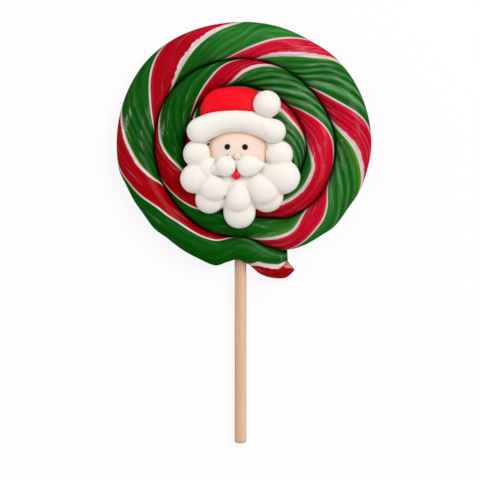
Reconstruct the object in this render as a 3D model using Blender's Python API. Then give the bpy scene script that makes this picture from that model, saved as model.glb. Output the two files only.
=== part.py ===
"""A swirl lollipop: a twisted rope of boiled sugar coiled flat, a wooden stick, and a piped sugar figure
of a bearded old man in a winter hat. It lies on its back, figure up, with the stick along -Y.

Every size below is in millimetres or degrees. The meshes are made in metres.
The origin is the middle of the coil, on the flat that it rests on.
"""

import math
from collections import namedtuple

import bmesh
import bpy
import numpy as np

MM = 0.001
CLEARANCE = 0.3  # left between any two pieces
FULL_TURN = 360.0

# The rope. A turn angle is counted clockwise from the stick, as seen from the front. The rope's outer end
# is at ROPE_START, and each pass lies inside the one before, so one curve is both a pass's outer edge and,
# a full turn later, the groove on its inner side.
ROPE_START = -22.0
END_SPAN = 60.0  # degrees from the rope's outer end that get short steps
END_STEPS = 12
STEPS_PER_TURN = 48
CORE_RADIUS = 6.0
ROPE_EDGE = (
    (-22.0, 52.3), (-17.0, 54.0), (-12.0, 52.9), (-7.0, 50.6), (-2.0, 46.6), (4.0, 44.8), (8.0, 46.0),
    (15.0, 47.9), (30.0, 47.5), (60.0, 47.9), (90.0, 49.2), (125.0, 49.4), (180.0, 46.9), (210.0, 47.0),
    (240.0, 48.6), (265.0, 48.8), (300.0, 47.1), (330.0, 45.0), (338.0, 44.1), (344.0, 42.0),
    (349.0, 39.7), (354.0, 37.3), (360.0, 36.0), (380.0, 36.4), (420.0, 34.9), (480.0, 34.8),
    (540.0, 32.6), (570.0, 32.5), (600.0, 33.2), (630.0, 35.0), (660.0, 35.2), (690.0, 33.1),
    (700.0, 30.5), (720.0, 27.2), (780.0, 23.9), (810.0, 22.8), (885.0, 23.0), (915.0, 21.8),
    (960.0, 22.5), (1000.0, 24.0), (1025.0, 23.7), (1050.0, 21.6), (1088.0, 17.2), (1150.0, 14.2),
    (1270.0, 10.8), (1360.0, 8.2), (1448.0, CORE_RADIUS),
)

CROWN = 11.4  # the rope's height over the surface that it lies on
TAIL_CROWN = 9.6  # the same at the cut end
RIM_HEIGHT = 4.6  # where the free edge is widest
GROOVE_FLOOR = 7.4  # the bottom of the grooves on the front
BACK_GROOVE = 1.0  # how far the grooves on the back reach up
PROFILE_POWER = 2.2  # 2 is an ellipse, more is squarer
FRONT_CELLS = 10
RIM_CORNER = 3.4
BACK_CORNER = 1.6
CORNER_STEPS = (0.25, 1.0)
JOIN_LENGTH = 24.0  # degrees over which the second pass runs in under the rope's end
CUT_LEAN = 3.6  # how much further the cut end's outer side reaches at the back than at the front
CORE_MERGE = (1180.0, 1280.0)  # where the groove round the middle fades out
CORE_RINGS = (0.72, 0.38)

# The twist: how many whole twists the rope has made at a turn angle. It is slack near the outer end.
TWIST = (
    (-22.0, 0.15), (0.0, 0.30), (18.0, 0.52), (37.0, 0.56), (51.5, 0.65), (117.5, 1.65), (189.0, 2.65),
    (248.0, 3.65), (312.0, 4.65), (393.0, 5.65), (512.0, 6.65), (606.0, 7.65), (700.0, 8.25),
    (1448.0, 15.0),
)
FRONT_SHARE = 0.7  # of the rope's girth that the front shows
STRANDS = 3
STRAND_RELIEF = 0.28

# The stick
STICK_DIAMETER = 4.5
STICK_LENGTH = 114.0
STICK_X = -1.5
STICK_HEIGHT = 4.1
STICK_END_Y = -115.3
STICK_ROUNDING = 1.1
STICK_SIDES = 24
BORE_SIDES = 20
BORE_OVERRUN = 12.0

# The sugar figure lies on the crowns of the rope.
FIGURE_BASE = CROWN + STRAND_RELIEF + CLEARANCE
BALL_SEGMENTS = 16
BALL_RINGS = 10
CUT_GROWTH = 0.34  # keeps CLEARANCE on slanting sides too

# A lump is a ball or a drop: where its middle is, z over the figure's base, its radius and half height.
# A drop's tip reaches out in a direction given in degrees from +X, and a high taper makes it slender.
# Stretch is length over width, and squareness 2 is an ellipse.
Lump = namedtuple(
    "Lump",
    "x y z radius height tip toward taper stretch squareness",
    defaults=(0.0, 0.0, 0.3, 1.0, 2.0),
)

BEARD = (
    Lump(-2.1, -14.2, 0.8, 8.0, 4.4, stretch=2.1),
    Lump(-12.8, -9.2, 0.8, 4.0, 4.0),
    Lump(-18.3, -3.7, 2.4, 5.3, 4.4),
    Lump(-18.9, -13.5, 2.4, 5.8, 4.8, 8.6, 33.0),
    Lump(-13.3, -21.4, 1.2, 5.6, 4.4),
    Lump(-11.9, -17.1, 4.0, 5.4, 4.0),
    Lump(-1.9, -26.5, 1.2, 6.2, 4.6),
    Lump(-2.5, -21.2, 4.0, 5.1, 4.2, 8.8, 88.0, 1.4),
    Lump(8.7, -20.2, 1.2, 6.3, 4.6),
    Lump(7.5, -17.9, 3.8, 5.8, 4.3, 8.4, 134.0),
    Lump(14.8, -12.9, 2.8, 6.6, 5.0, 10.6, 175.0),
    Lump(13.3, -4.0, 2.4, 5.5, 4.4),
)
FACE = Lump(-2.2, -2.9, 1.2, 10.4, 5.0, stretch=1.11, squareness=2.5)
HAT = Lump(-4.0, 10.6, 1.0, 11.4, 5.0, stretch=1.13, squareness=2.7)
BELOW_HAT = Lump(-3.3, -6.0, 0.0, 14.5, 30.0, stretch=1.6)
POMPOM = Lump(8.6, 15.2, 4.3, 5.4, 5.4)
MOUSTACHE_LEFT = Lump(-7.4, -8.7, 6.6, 3.9, 3.0, 5.6, 190.0)
MOUSTACHE_RIGHT = Lump(1.3, -8.9, 6.6, 3.9, 3.0, 6.9, 5.0)
NOSE = Lump(-2.7, -5.0, 6.4, 1.5, 1.5)
MOUTH = Lump(-3.1, -12.3, 6.0, 1.7, 1.6, 2.3, 90.0)
EYE_LEFT = Lump(-6.5, -1.4, 5.6, 1.15, 0.8)
EYE_RIGHT = Lump(0.2, -1.5, 5.9, 1.15, 0.8)

# The hat's brim is a roll of sugar along an arch.
BRIM_LEFT = (-17.3, 5.4)
BRIM_TOP = (-3.3, 8.7)
BRIM_RIGHT = (10.8, 5.0)
BRIM_RADIUS_ENDS = 5.0
BRIM_RADIUS_MIDDLE = 4.3
BRIM_HEIGHT = 4.2
BRIM_Z = 3.8
BRIM_STEPS = 14
BRIM_END_STEPS = 5
BRIM_SIDES = 14

# Material colours, linear
GREEN = (0.010, 0.130, 0.014)
WOOD = (0.620, 0.360, 0.190)
RED = (0.870, 0.008, 0.014)
WHITE = (0.880, 0.840, 0.770)
PEACH = (0.900, 0.640, 0.500)
BLACK = (0.010, 0.009, 0.008)


def clear_scene():
    for obj in list(bpy.data.objects):
        bpy.data.objects.remove(obj)


def material(name, colour, roughness):
    made = bpy.data.materials.new(name)
    made.use_nodes = True
    shader = made.node_tree.nodes["Principled BSDF"]
    shader.inputs["Base Color"].default_value = (*colour, 1.0)
    shader.inputs["Roughness"].default_value = roughness
    shader.inputs["Metallic"].default_value = 0.0
    return made


def smooth_curve(stations, at):
    """A curve through the stations that bends smoothly and never swings past one."""
    x, y = np.array(stations, float).T
    run = np.diff(x)
    slope = np.diff(y) / run
    tangent = np.zeros_like(y)
    tangent[0], tangent[-1] = slope[0], slope[-1]
    before, after = 2 * run[1:] + run[:-1], run[1:] + 2 * run[:-1]
    rising = slope[:-1] * slope[1:] > 0
    safe_before = np.where(rising, slope[:-1], 1.0)
    safe_after = np.where(rising, slope[1:], 1.0)
    tangent[1:-1] = np.where(rising, (before + after) / (before / safe_before + after / safe_after), 0.0)
    at = np.asarray(at, float)
    k = np.clip(np.searchsorted(x, at, side="right") - 1, 0, len(run) - 1)
    s = (at - x[k]) / run[k]
    return (
        (1 + 2 * s) * (1 - s) ** 2 * y[k]
        + s * (1 - s) ** 2 * run[k] * tangent[k]
        + s**2 * (3 - 2 * s) * y[k + 1]
        + s**2 * (s - 1) * run[k] * tangent[k + 1]
    )


def ease(value, low, high):
    """0 below low, 1 above high, and smooth between."""
    s = np.clip((value - low) / (high - low), 0.0, 1.0)
    return s * s * (3 - 2 * s)


def on_disc(turn, radius, height):
    """The point at a clockwise turn angle and a radius, in metres."""
    angle = math.radians(turn)
    return (-radius * math.sin(angle) * MM, -radius * math.cos(angle) * MM, height * MM)


def front_height(turn, across, outer_edge, inner_edge):
    """The rope's front at a share of the way across it, from its outer edge to its inner one."""
    crown = CROWN + (TAIL_CROWN - CROWN) * (1 - ease(turn, ROPE_START, JOIN_LENGTH))
    edge = outer_edge if across < 0.5 else inner_edge
    rise = max(0.0, 1 - abs(2 * across - 1) ** PROFILE_POWER) ** (1 / PROFILE_POWER)
    girth = FRONT_SHARE * math.acos(1 - 2 * across) / math.pi
    twist = float(smooth_curve(TWIST, turn))
    strand = math.cos(2 * math.pi * STRANDS * (girth + twist))
    return edge + (crown - edge) * rise + STRAND_RELIEF * strand * 4 * across * (1 - across)


def corner_height(distance, corner, height):
    """A rounded corner on the back: up at the edge, flat from the corner's width inwards."""
    left = max(0.0, 1 - distance / corner)
    return height * (1 - math.sqrt(1 - left**2))


def rope_turns():
    """The turn angles of the rope's rows. They are the same in every turn, and close near the cut end."""
    near_end = np.linspace(0.0, END_SPAN, END_STEPS, endpoint=False)
    rest = np.linspace(END_SPAN, FULL_TURN, STEPS_PER_TURN - END_STEPS, endpoint=False)
    one_turn = ROPE_START + np.concatenate((near_end, rest))
    end = ROPE_EDGE[-1][0]
    whole = math.ceil((end - ROPE_START) / FULL_TURN)
    turns = np.concatenate([one_turn + FULL_TURN * k for k in range(whole)])
    return turns[turns <= end]


def rope_edges(turns):
    """For each row its outer radius, how high the edge lies on the front and the back, and its corner."""
    outer = smooth_curve(ROPE_EDGE, turns)
    free_end = ROPE_START + FULL_TURN
    joined = ease(turns, free_end, free_end + JOIN_LENGTH)
    front = RIM_HEIGHT + (GROOVE_FLOOR - RIM_HEIGHT) * joined
    back = RIM_HEIGHT + (BACK_GROOVE - RIM_HEIGHT) * joined
    corner = RIM_CORNER + (BACK_CORNER - RIM_CORNER) * joined
    return outer, front, back, corner


def core_edge_height(turn, width):
    """The edge of the coil's middle on the front: a groove that fades where the rope runs into the middle."""
    merged = ease(turn, *CORE_MERGE) * min(1.0, width / CORE_RADIUS)
    return GROOVE_FLOOR + (CROWN - GROOVE_FLOOR) * merged


def rope_mesh():
    """The coil as one closed surface: a front and a back strip that follow the rope, each pass sharing its
    inner edge with the next pass's outer edge, joined at the free rim and at the cut end."""
    turns = rope_turns()
    last = len(turns) - 1
    outer, front_edge, back_edge, corner = rope_edges(turns)
    mesh = bmesh.new()

    def vertex(turn, radius, height):
        return mesh.verts.new(on_disc(turn, radius, height))

    front_outer = [vertex(turns[i], outer[i], front_edge[i]) for i in range(last + 1)]
    back_outer = [
        front_outer[i] if i <= STEPS_PER_TURN else vertex(turns[i], outer[i], back_edge[i])
        for i in range(last + 1)
    ]
    front, back, core = [], [], {"front": [], "back": []}
    for i in range(last):
        inside = i + STEPS_PER_TURN
        if inside <= last:
            inner_radius, inner_front, inner_back = outer[inside], front_edge[inside], back_edge[inside]
            front_inner, back_inner, inner_corner = front_outer[inside], back_outer[inside], corner[inside]
        else:
            inner_radius, inner_back, inner_corner = CORE_RADIUS, 0.0, BACK_CORNER
            inner_front = core_edge_height(turns[i], outer[i] - CORE_RADIUS)
            front_inner = vertex(turns[i], CORE_RADIUS, inner_front)
            back_inner = vertex(turns[i], CORE_RADIUS, inner_back)
        if inside >= last:
            core["front"].append(front_inner)
            core["back"].append(back_inner)
        width = outer[i] - inner_radius
        lean = CUT_LEAN if i == 0 else 0.0

        def placed(inwards, height):
            radius = outer[i] - inwards
            shift = lean * (1 - inwards / width) * height / CROWN
            return vertex(turns[i] + math.degrees(shift / radius), radius, height)

        front_row = [front_outer[i]]
        for k in range(1, FRONT_CELLS):
            across = (1 - math.cos(math.pi * k / FRONT_CELLS)) / 2
            height = front_height(turns[i], across, front_edge[i], inner_front)
            front_row.append(placed(across * width, height))
        front.append([*front_row, front_inner])

        outer_corner = min(corner[i], 0.4 * width)
        inner_corner = min(inner_corner, 0.4 * width)
        back_row = [back_outer[i]]
        for share in CORNER_STEPS:
            height = corner_height(share * outer_corner, outer_corner, back_edge[i])
            back_row.append(placed(share * outer_corner, height))
        for share in reversed(CORNER_STEPS):
            height = corner_height(share * inner_corner, inner_corner, inner_back)
            back_row.append(placed(width - share * inner_corner, height))
        back.append([*back_row, back_inner])

    for rows, tip in ((front, front_outer[last]), (back, back_outer[last])):
        for row, following in zip(rows, rows[1:]):
            for k in range(len(row) - 1):
                mesh.faces.new((row[k], row[k + 1], following[k + 1], following[k]))
        for k in range(len(rows[-1]) - 1):
            mesh.faces.new((rows[-1][k], rows[-1][k + 1], tip))
    mesh.faces.new([*front[0], *reversed(back[0][1:-1])])
    fill_core(mesh, core["front"], True)
    fill_core(mesh, core["back"], False)
    bmesh.ops.triangulate(mesh, faces=[f for f in mesh.faces if len(f.verts) > 4])
    bmesh.ops.recalc_face_normals(mesh, faces=mesh.faces)
    return mesh


def fill_core(mesh, loop, is_front):
    """The round middle of the coil, where the rope's inner end has curled up."""
    ring = loop
    middle_height = CROWN if is_front else 0.0
    for share in CORE_RINGS:
        rise = (1 - share**PROFILE_POWER) ** (1 / PROFILE_POWER)
        inner = []
        for edge in loop:
            height = edge.co.z / MM + (middle_height - edge.co.z / MM) * rise
            height = height if is_front or share < CORE_RINGS[0] else 0.0
            inner.append(mesh.verts.new((edge.co.x * share, edge.co.y * share, height * MM)))
        for k in range(len(loop)):
            after = (k + 1) % len(loop)
            mesh.faces.new((ring[k], ring[after], inner[after], inner[k]))
        ring = inner
    middle = mesh.verts.new((0.0, 0.0, middle_height * MM))
    for k in range(len(ring)):
        mesh.faces.new((ring[k], ring[(k + 1) % len(ring)], middle))


def object_from(name, mesh, made_of=None):
    """A named object from a bmesh, shaded smooth with its sharp edges kept."""
    data = bpy.data.meshes.new(name)
    mesh.to_mesh(data)
    mesh.free()
    obj = bpy.data.objects.new(name, data)
    bpy.context.scene.collection.objects.link(obj)
    if made_of:
        data.materials.append(made_of)
    data.shade_smooth()
    data.set_sharp_from_angle(angle=math.radians(40))
    return obj


def apply_boolean(obj, others, operation):
    """Joins the others to an object, or cuts them from it, and removes them."""
    group = bpy.data.collections.new("operands")
    bpy.context.scene.collection.children.link(group)
    for other in others:
        bpy.context.scene.collection.objects.unlink(other)
        group.objects.link(other)
    change = obj.modifiers.new(operation.title(), "BOOLEAN")
    change.operation = operation
    change.operand_type = "COLLECTION"
    change.collection = group
    change.solver = "EXACT"
    bpy.context.view_layer.update()
    changed = obj.evaluated_get(bpy.context.evaluated_depsgraph_get())
    data = bpy.data.meshes.new_from_object(changed)
    obj.modifiers.remove(change)
    obj.data = data
    for other in others:
        bpy.data.objects.remove(other)
    bpy.data.collections.remove(group)


def cylinder_along_y(name, diameter, start_y, end_y, sides, made_of=None):
    mesh = bmesh.new()
    bmesh.ops.create_cone(
        mesh,
        cap_ends=True,
        segments=sides,
        radius1=diameter / 2 * MM,
        radius2=diameter / 2 * MM,
        depth=(end_y - start_y) * MM,
    )
    obj = object_from(name, mesh, made_of)
    obj.location = (STICK_X * MM, (start_y + end_y) / 2 * MM, STICK_HEIGHT * MM)
    obj.rotation_euler = (math.radians(90), 0.0, 0.0)
    return obj


def add_rope():
    rope = object_from("candy_rope", rope_mesh(), material("Boiled_sugar", GREEN, 0.18))
    bore = cylinder_along_y(
        "stick_bore",
        STICK_DIAMETER + 2 * CLEARANCE,
        -ROPE_EDGE[0][1] - BORE_OVERRUN,
        STICK_END_Y + STICK_LENGTH + CLEARANCE,
        BORE_SIDES,
    )
    bpy.context.view_layer.update()
    apply_boolean(rope, [bore], "DIFFERENCE")
    return rope


def add_stick():
    stick = cylinder_along_y(
        "stick",
        STICK_DIAMETER,
        STICK_END_Y,
        STICK_END_Y + STICK_LENGTH,
        STICK_SIDES,
        material("Birch", WOOD, 0.6),
    )
    rounding = stick.modifiers.new("Rounded ends", "BEVEL")
    rounding.width = STICK_ROUNDING * MM
    rounding.segments = 3
    rounding.limit_method = "ANGLE"
    rounding.angle_limit = math.radians(60)
    return stick


def squared(a, b, power):
    """Pushes a circle's point out towards a rounded square's corner."""
    size = math.hypot(a, b)
    if size == 0 or power == 2:
        return a, b
    factor = size / (abs(a) ** power + abs(b) ** power) ** (1 / power)
    return a * factor, b * factor


def lump_object(lump, grow=0.0):
    """A ball, or a drop whose tip side is drawn out, from a unit ball. Grow makes it larger all round."""
    mesh = bmesh.new()
    bmesh.ops.create_uvsphere(mesh, u_segments=BALL_SEGMENTS, v_segments=BALL_RINGS, radius=1.0)
    angle = math.radians(lump.toward)
    for v in mesh.verts:
        a, b = squared(v.co.x, v.co.y, lump.squareness)
        taper, length = 1.0, lump.radius * lump.stretch
        if lump.tip and a > 0:
            length = lump.tip
            taper = max(0.0, 1 - a * a) ** lump.taper
        along = a * (length + grow)
        aside = b * taper * (lump.radius + grow)
        v.co = (
            (lump.x + along * math.cos(angle) - aside * math.sin(angle)) * MM,
            (lump.y + along * math.sin(angle) + aside * math.cos(angle)) * MM,
            (FIGURE_BASE + lump.z + v.co.z * taper * (lump.height + grow)) * MM,
        )
    bmesh.ops.remove_doubles(mesh, verts=mesh.verts, dist=0.01 * MM)
    bmesh.ops.recalc_face_normals(mesh, faces=mesh.faces)
    return object_from("lump", mesh)


def brim_object(grow=0.0):
    """The brim: rings along an arch through three points, with round ends."""
    left, top, right = np.array(BRIM_LEFT), np.array(BRIM_TOP), np.array(BRIM_RIGHT)
    inner = [k / BRIM_STEPS for k in range(BRIM_STEPS + 1)]
    angles = [math.pi / 2 * k / BRIM_END_STEPS for k in range(1, BRIM_END_STEPS)]
    stations = [(0.0, -math.sin(a), math.cos(a)) for a in reversed(angles)]
    stations += [(s, 0.0, 1.0) for s in inner]
    stations += [(1.0, math.sin(a), math.cos(a)) for a in angles]
    mesh = bmesh.new()
    rings = []

    def frame(s):
        middle = 2 * top - (left + right) / 2
        point = (1 - s) ** 2 * left + 2 * s * (1 - s) * middle + s**2 * right
        way = 2 * (1 - s) * (middle - left) + 2 * s * (right - middle)
        radius = BRIM_RADIUS_MIDDLE + (BRIM_RADIUS_ENDS - BRIM_RADIUS_MIDDLE) * (2 * s - 1) ** 2
        return point, way / np.linalg.norm(way), radius + grow

    def at(point, height):
        return mesh.verts.new((point[0] * MM, point[1] * MM, (FIGURE_BASE + BRIM_Z + height) * MM))

    for s, past, size in stations:
        point, way, radius = frame(s)
        aside = np.array((-way[1], way[0]))
        ring = []
        for k in range(BRIM_SIDES):
            turn = 2 * math.pi * k / BRIM_SIDES
            place = point + way * past * radius + aside * radius * size * math.cos(turn)
            ring.append(at(place, (BRIM_HEIGHT + grow) * size * math.sin(turn)))
        rings.append(ring)
    for ring, following in zip(rings, rings[1:]):
        for k in range(BRIM_SIDES):
            after = (k + 1) % BRIM_SIDES
            mesh.faces.new((ring[k], ring[after], following[after], following[k]))
    for s, ring, side in ((0.0, rings[0], -1), (1.0, rings[-1], 1)):
        point, way, radius = frame(s)
        end = at(point + way * side * radius, 0.0)
        for k in range(BRIM_SIDES):
            mesh.faces.new((ring[k], ring[(k + 1) % BRIM_SIDES], end))
    bmesh.ops.recalc_face_normals(mesh, faces=mesh.faces)
    return object_from("brim", mesh)


def table_object():
    """All that lies below the figure's flat underside."""
    mesh = bmesh.new()
    bmesh.ops.create_cube(mesh, size=1.0)
    depth = 20.0
    for v in mesh.verts:
        v.co = (v.co.x * 100 * MM, v.co.y * 100 * MM, (FIGURE_BASE - depth / 2 + v.co.z * depth) * MM)
    return object_from("table", mesh)


def grown(*lumps):
    return [lump_object(lump, CUT_GROWTH) for lump in lumps]


def sugar_piece(name, solids, cutters, made_of):
    """One piece of the figure: its lumps fused, with its neighbours and the underside cut away."""
    piece = solids[0]
    piece.name = name
    if solids[1:]:
        apply_boolean(piece, solids[1:], "UNION")
    apply_boolean(piece, cutters, "DIFFERENCE")
    piece.data.name = name
    piece.data.materials.clear()
    piece.data.materials.append(made_of)
    return piece


def add_figure():
    white = material("White_sugar", WHITE, 0.55)
    skin = material("Peach_sugar", PEACH, 0.5)
    red = material("Red_sugar", RED, 0.5)
    black = material("Black_sugar", BLACK, 0.4)
    beard = [lump_object(lump) for lump in BEARD]
    sugar_piece("beard", beard, [brim_object(CUT_GROWTH), table_object()], white)
    cutters = [*grown(*BEARD, EYE_LEFT, EYE_RIGHT), brim_object(CUT_GROWTH), table_object()]
    sugar_piece("face", [lump_object(FACE)], cutters, skin)
    sugar_piece("hat_brim", [brim_object()], [*grown(POMPOM), table_object()], white)
    cutters = [*grown(POMPOM, BELOW_HAT), brim_object(CUT_GROWTH), table_object()]
    sugar_piece("hat", [lump_object(HAT)], cutters, red)
    sugar_piece("hat_pompom", [lump_object(POMPOM)], [table_object()], white)
    head = (*BEARD, FACE)
    sugar_piece("moustache_left", [lump_object(MOUSTACHE_LEFT)], grown(*head), white)
    sugar_piece("moustache_right", [lump_object(MOUSTACHE_RIGHT)], grown(*head, MOUSTACHE_LEFT), white)
    moustache = (MOUSTACHE_LEFT, MOUSTACHE_RIGHT)
    sugar_piece("nose", [lump_object(NOSE)], grown(FACE, *moustache), skin)
    sugar_piece("mouth", [lump_object(MOUTH)], grown(*head, *moustache), red)
    sugar_piece("eye_left", [lump_object(EYE_LEFT)], [table_object()], black)
    sugar_piece("eye_right", [lump_object(EYE_RIGHT)], [table_object()], black)


def main():
    clear_scene()
    add_rope()
    add_stick()
    add_figure()


main()
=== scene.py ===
"""Dresses a swirl lollipop: the twisted candy rope with its stripes, the stick, and the piped sugar head.

The lollipop lies on its flat back. Sizes in this file are millimetres and degrees unless a name says
otherwise, and meshes are made in metres. The origin is the middle of the coil, on the floor.
"""

import math
from collections import namedtuple
from functools import reduce

import bpy
import numpy as np
from bpy.props import FloatProperty, FloatVectorProperty, PointerProperty
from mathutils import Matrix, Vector


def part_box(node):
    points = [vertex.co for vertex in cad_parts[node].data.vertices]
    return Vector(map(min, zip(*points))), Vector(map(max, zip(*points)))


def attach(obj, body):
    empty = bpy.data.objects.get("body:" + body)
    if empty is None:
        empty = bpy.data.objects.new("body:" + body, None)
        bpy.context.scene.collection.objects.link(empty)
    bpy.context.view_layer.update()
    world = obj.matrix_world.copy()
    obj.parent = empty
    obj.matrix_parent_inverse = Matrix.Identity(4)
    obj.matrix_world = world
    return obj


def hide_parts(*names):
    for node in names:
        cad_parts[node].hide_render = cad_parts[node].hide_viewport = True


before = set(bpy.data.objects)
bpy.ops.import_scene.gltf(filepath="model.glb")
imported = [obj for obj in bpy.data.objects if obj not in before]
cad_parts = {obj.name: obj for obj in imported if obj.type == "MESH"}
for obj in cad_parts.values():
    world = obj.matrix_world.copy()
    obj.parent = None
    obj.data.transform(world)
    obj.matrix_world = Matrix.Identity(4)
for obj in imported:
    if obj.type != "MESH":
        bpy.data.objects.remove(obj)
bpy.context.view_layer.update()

bl_info = {
    "name": "Swirl lollipop",
    "version": (1, 0, 0),
    "blender": (4, 5, 0),
    "location": "3D View > Sidebar > Lollipop",
    "description": "Makes a swirl lollipop with a piped sugar head, and its studio",
    "category": "Add Mesh",
}

MM = 0.001
FULL_TURN = 360.0
BODY = "root"


def box_mm(node):
    """A node's lowest and highest corner, in millimetres."""
    low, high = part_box(node)
    return np.array(low) / MM, np.array(high) / MM


STICK_BOX = box_mm("stick")
HEAD_BASE = box_mm("beard")[0][2]  # the CAD head's underside

# The rope. A turn angle is counted clockwise from the stick, as seen from the front. Each pass lies
# inside the one before, so the edge curve is a pass's outer edge and, a full turn later, the groove on
# its inner side.
ROPE_START = -22.0
ROWS_PER_TURN = 470
CORE_RADIUS = 6.0
ROPE_EDGE = (
    (-22, 52.3), (-17, 54.0), (-12, 52.9), (-7, 50.6), (-2, 46.6), (4, 44.8), (8, 46.0), (14, 48.3),
    (22, 47.65), (30, 47.35), (39, 47.0), (47, 47.7), (55, 47.4), (62, 47.8), (70, 48.2), (79, 49.3),
    (90, 49.2), (125, 49.4), (180, 46.9), (210, 47.0), (226, 48.15), (240, 48.6), (270, 48.9),
    (282, 48.4), (293, 47.9), (303, 47.0), (312, 47.1), (320, 46.1), (329, 45.4), (338, 44.1),
    (344, 42.0), (349, 39.7), (354, 37.3), (360, 36.0), (380, 36.4), (420, 34.9), (480, 34.8),
    (540, 32.6), (570, 32.5), (600, 33.2), (630, 35.0), (660, 35.2), (690, 33.1), (700, 30.5),
    (720, 27.2), (780, 23.9), (810, 22.8), (885, 23.0), (915, 21.8), (960, 22.5), (1000, 24.0),
    (1025, 23.7), (1050, 21.6), (1088, 17.2), (1150, 14.2), (1270, 10.8), (1360, 8.2),
    (1448, CORE_RADIUS),
)
TAIL_CROWN = 9.6  # the rope's height at its cut end
RIM_HEIGHT = 4.6  # where the free edge is widest
GROOVE_FLOOR = 5.8
BACK_GROOVE = 1.0
PROFILE_POWER = 2.2  # 2 is an ellipse, more is squarer
FRONT_CELLS = 40
RIM_CORNER = 3.4  # how far the back is rounded at the free edge
BACK_CORNER = 1.6  # and at a groove
CORNER_CELLS = 4
CORNER_CROWDING = 1.5
CORNER_MOST = 0.4  # of the rope's width
RING_SHARES = (0.85, 0.65, 0.4, 0.2)
JOIN_LENGTH = 24.0  # turn angle over which the free end nestles into the coil
CORE_MERGE = (1180.0, 1280.0)  # turn angles over which the inner groove closes
FRONT_SHARE = 0.7  # of the rope's girth that the front shows

# The rope's broken end: its rows crowd together, it is notched between the green strand and the tip, and
# past FACET_RADIUS its face leans back. The green strand closes in a round nose.
END_SPAN = 12.0
END_CROWDING = 1.6
NOTCH_RADIUS = 48.4
NOTCH_WIDTH = 2.3
NOTCH_DEPTH = 1.8
FACET_RADIUS = 50.0
FACET_WIDTH = 1.5
FACET_DEPTH = 3.4
SHOULDER_RADIUS = 44.0
SHOULDER_WIDTH = 1.2
SHOULDER_DEPTH = 1.4
NOSE_LENGTH = 2.6
NOSE_EDGE = (47.4, 48.8)

# The stripes. A red band runs between a thin white line that leads it and a thick one that trails it.
# Each entry says how many whole twists the line has made at a turn angle.
LEADING_LINE = (
    (-22, 0.15), (0, 0.29), (18, 0.515), (37, 0.565), (50, 0.63), (70, 0.84), (78, 0.92), (100, 1.39),
    (120, 1.65), (140, 1.925), (168, 2.39), (192, 2.665), (208, 2.87), (230, 3.385), (248, 3.63),
    (263, 3.905), (298, 4.43), (307, 4.60), (330, 4.86), (380, 5.44), (392, 5.625), (420, 5.87),
    (475, 6.36), (510, 6.63), (530, 6.86), (583, 7.325), (603, 7.585), (630, 7.865), (690, 8.10),
    (810, 9.00), (1448, 14.4),
)
TRAILING_LINE = (
    (-22, -0.32), (-7, -0.26), (0, 0.0), (58, 0.285), (70, 0.525), (90, 0.75), (102, 0.89), (127.5, 1.39),
    (150, 1.66), (168, 1.835), (178, 1.945), (189, 2.385), (210, 2.645), (220, 2.76), (230, 2.95),
    (257, 3.40), (270, 3.635), (288, 3.905), (317, 4.385), (330, 4.61), (347, 4.76), (360, 5.005),
    (427, 5.52), (450, 5.775), (463, 5.86), (522, 6.36), (540, 6.665), (560, 6.885), (630, 7.385),
    (652, 7.595), (690, 7.635), (810, 8.60), (944, 9.75), (964, 9.797), (984, 9.90), (1004, 10.02),
    (1448, 13.95),
)
# Half the thick line's width, in twists.
THICK_LINE = (
    (-22, 0.032), (0, 0.026), (60, 0.022), (95, 0.021), (130, 0.026), (150, 0.033), (200, 0.030),
    (250, 0.034), (290, 0.036), (315, 0.026), (325, 0.021), (345, 0.019), (358, 0.026), (400, 0.022),
    (458, 0.018), (500, 0.026), (532, 0.034), (560, 0.034), (600, 0.028), (650, 0.028), (700, 0.024),
    (1448, 0.024),
)
# How far the yellow tint reaches into the green from the middle of the thick line, in twists.
FRINGE_REACH = (
    (-22, 0.06), (20, 0.05), (90, 0.055), (110, 0.06), (150, 0.055), (200, 0.06), (250, 0.11),
    (285, 0.20), (305, 0.16), (322, 0.09), (335, 0.11), (360, 0.08), (420, 0.05), (600, 0.05),
    (640, 0.06), (700, 0.07), (730, 0.05), (1448, 0.05),
)
# How ragged the thick line's edge against the red is, in twists.
TORN_EDGE = (
    (-22, 0.07), (0, 0.02), (110, 0.02), (125, 0.06), (160, 0.06), (175, 0.03), (250, 0.03), (275, 0.05),
    (295, 0.04), (310, 0.01), (360, 0.01), (500, 0.02), (1448, 0.02),
)
# Painted light: how much paler the candy's colour is painted. It is deep and clear at the lower left, and
# paler above and at the right, where the key light falls.
PAINTED_LIGHT = (
    (-22, 0.12), (-2, 0.12), (20, 0.05), (80, 0.15), (150, 0.25), (170, 0.8), (200, 0.9), (230, 0.75),
    (270, 0.6), (305, 0.7), (330, 0.5), (360, 0.1), (450, 0.0), (500, 0.15), (540, 0.5), (590, 0.8),
    (630, 1.0), (670, 0.5), (720, 0.2), (810, 0.0), (900, 0.3), (980, 0.7), (1060, 0.3), (1448, 0.3),
)
# How glossy the candy's skin is: least where it lay against the slab's edge, at the lower left.
GLOSS = (
    (-22, 0.7), (-12, 0.2), (0, 0.1), (25, 0.12), (70, 0.15), (100, 0.55), (150, 0.5), (200, 0.35),
    (225, 0.2), (260, 0.2), (290, 0.35), (330, 0.6), (360, 0.6), (385, 0.3), (450, 0.25), (500, 0.5),
    (540, 0.3), (600, 0.25), (650, 0.5), (700, 0.8), (900, 0.4), (1448, 0.4),
)
# How deep the pulled candy's lengthwise ridges are: smooth below, ribbed above and at the right.
RIDGE_DEPTH = (
    (-22, 0.05), (55, 0.05), (85, 0.26), (115, 0.12), (150, 0.06), (190, 0.12), (225, 0.32), (270, 0.28),
    (300, 0.18), (330, 0.06), (380, 0.08), (450, 0.12), (500, 0.10), (545, 0.34), (610, 0.34),
    (660, 0.12), (700, 0.30), (780, 0.12), (850, 0.20), (930, 0.34), (1010, 0.38), (1100, 0.2),
    (1448, 0.1),
)

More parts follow.
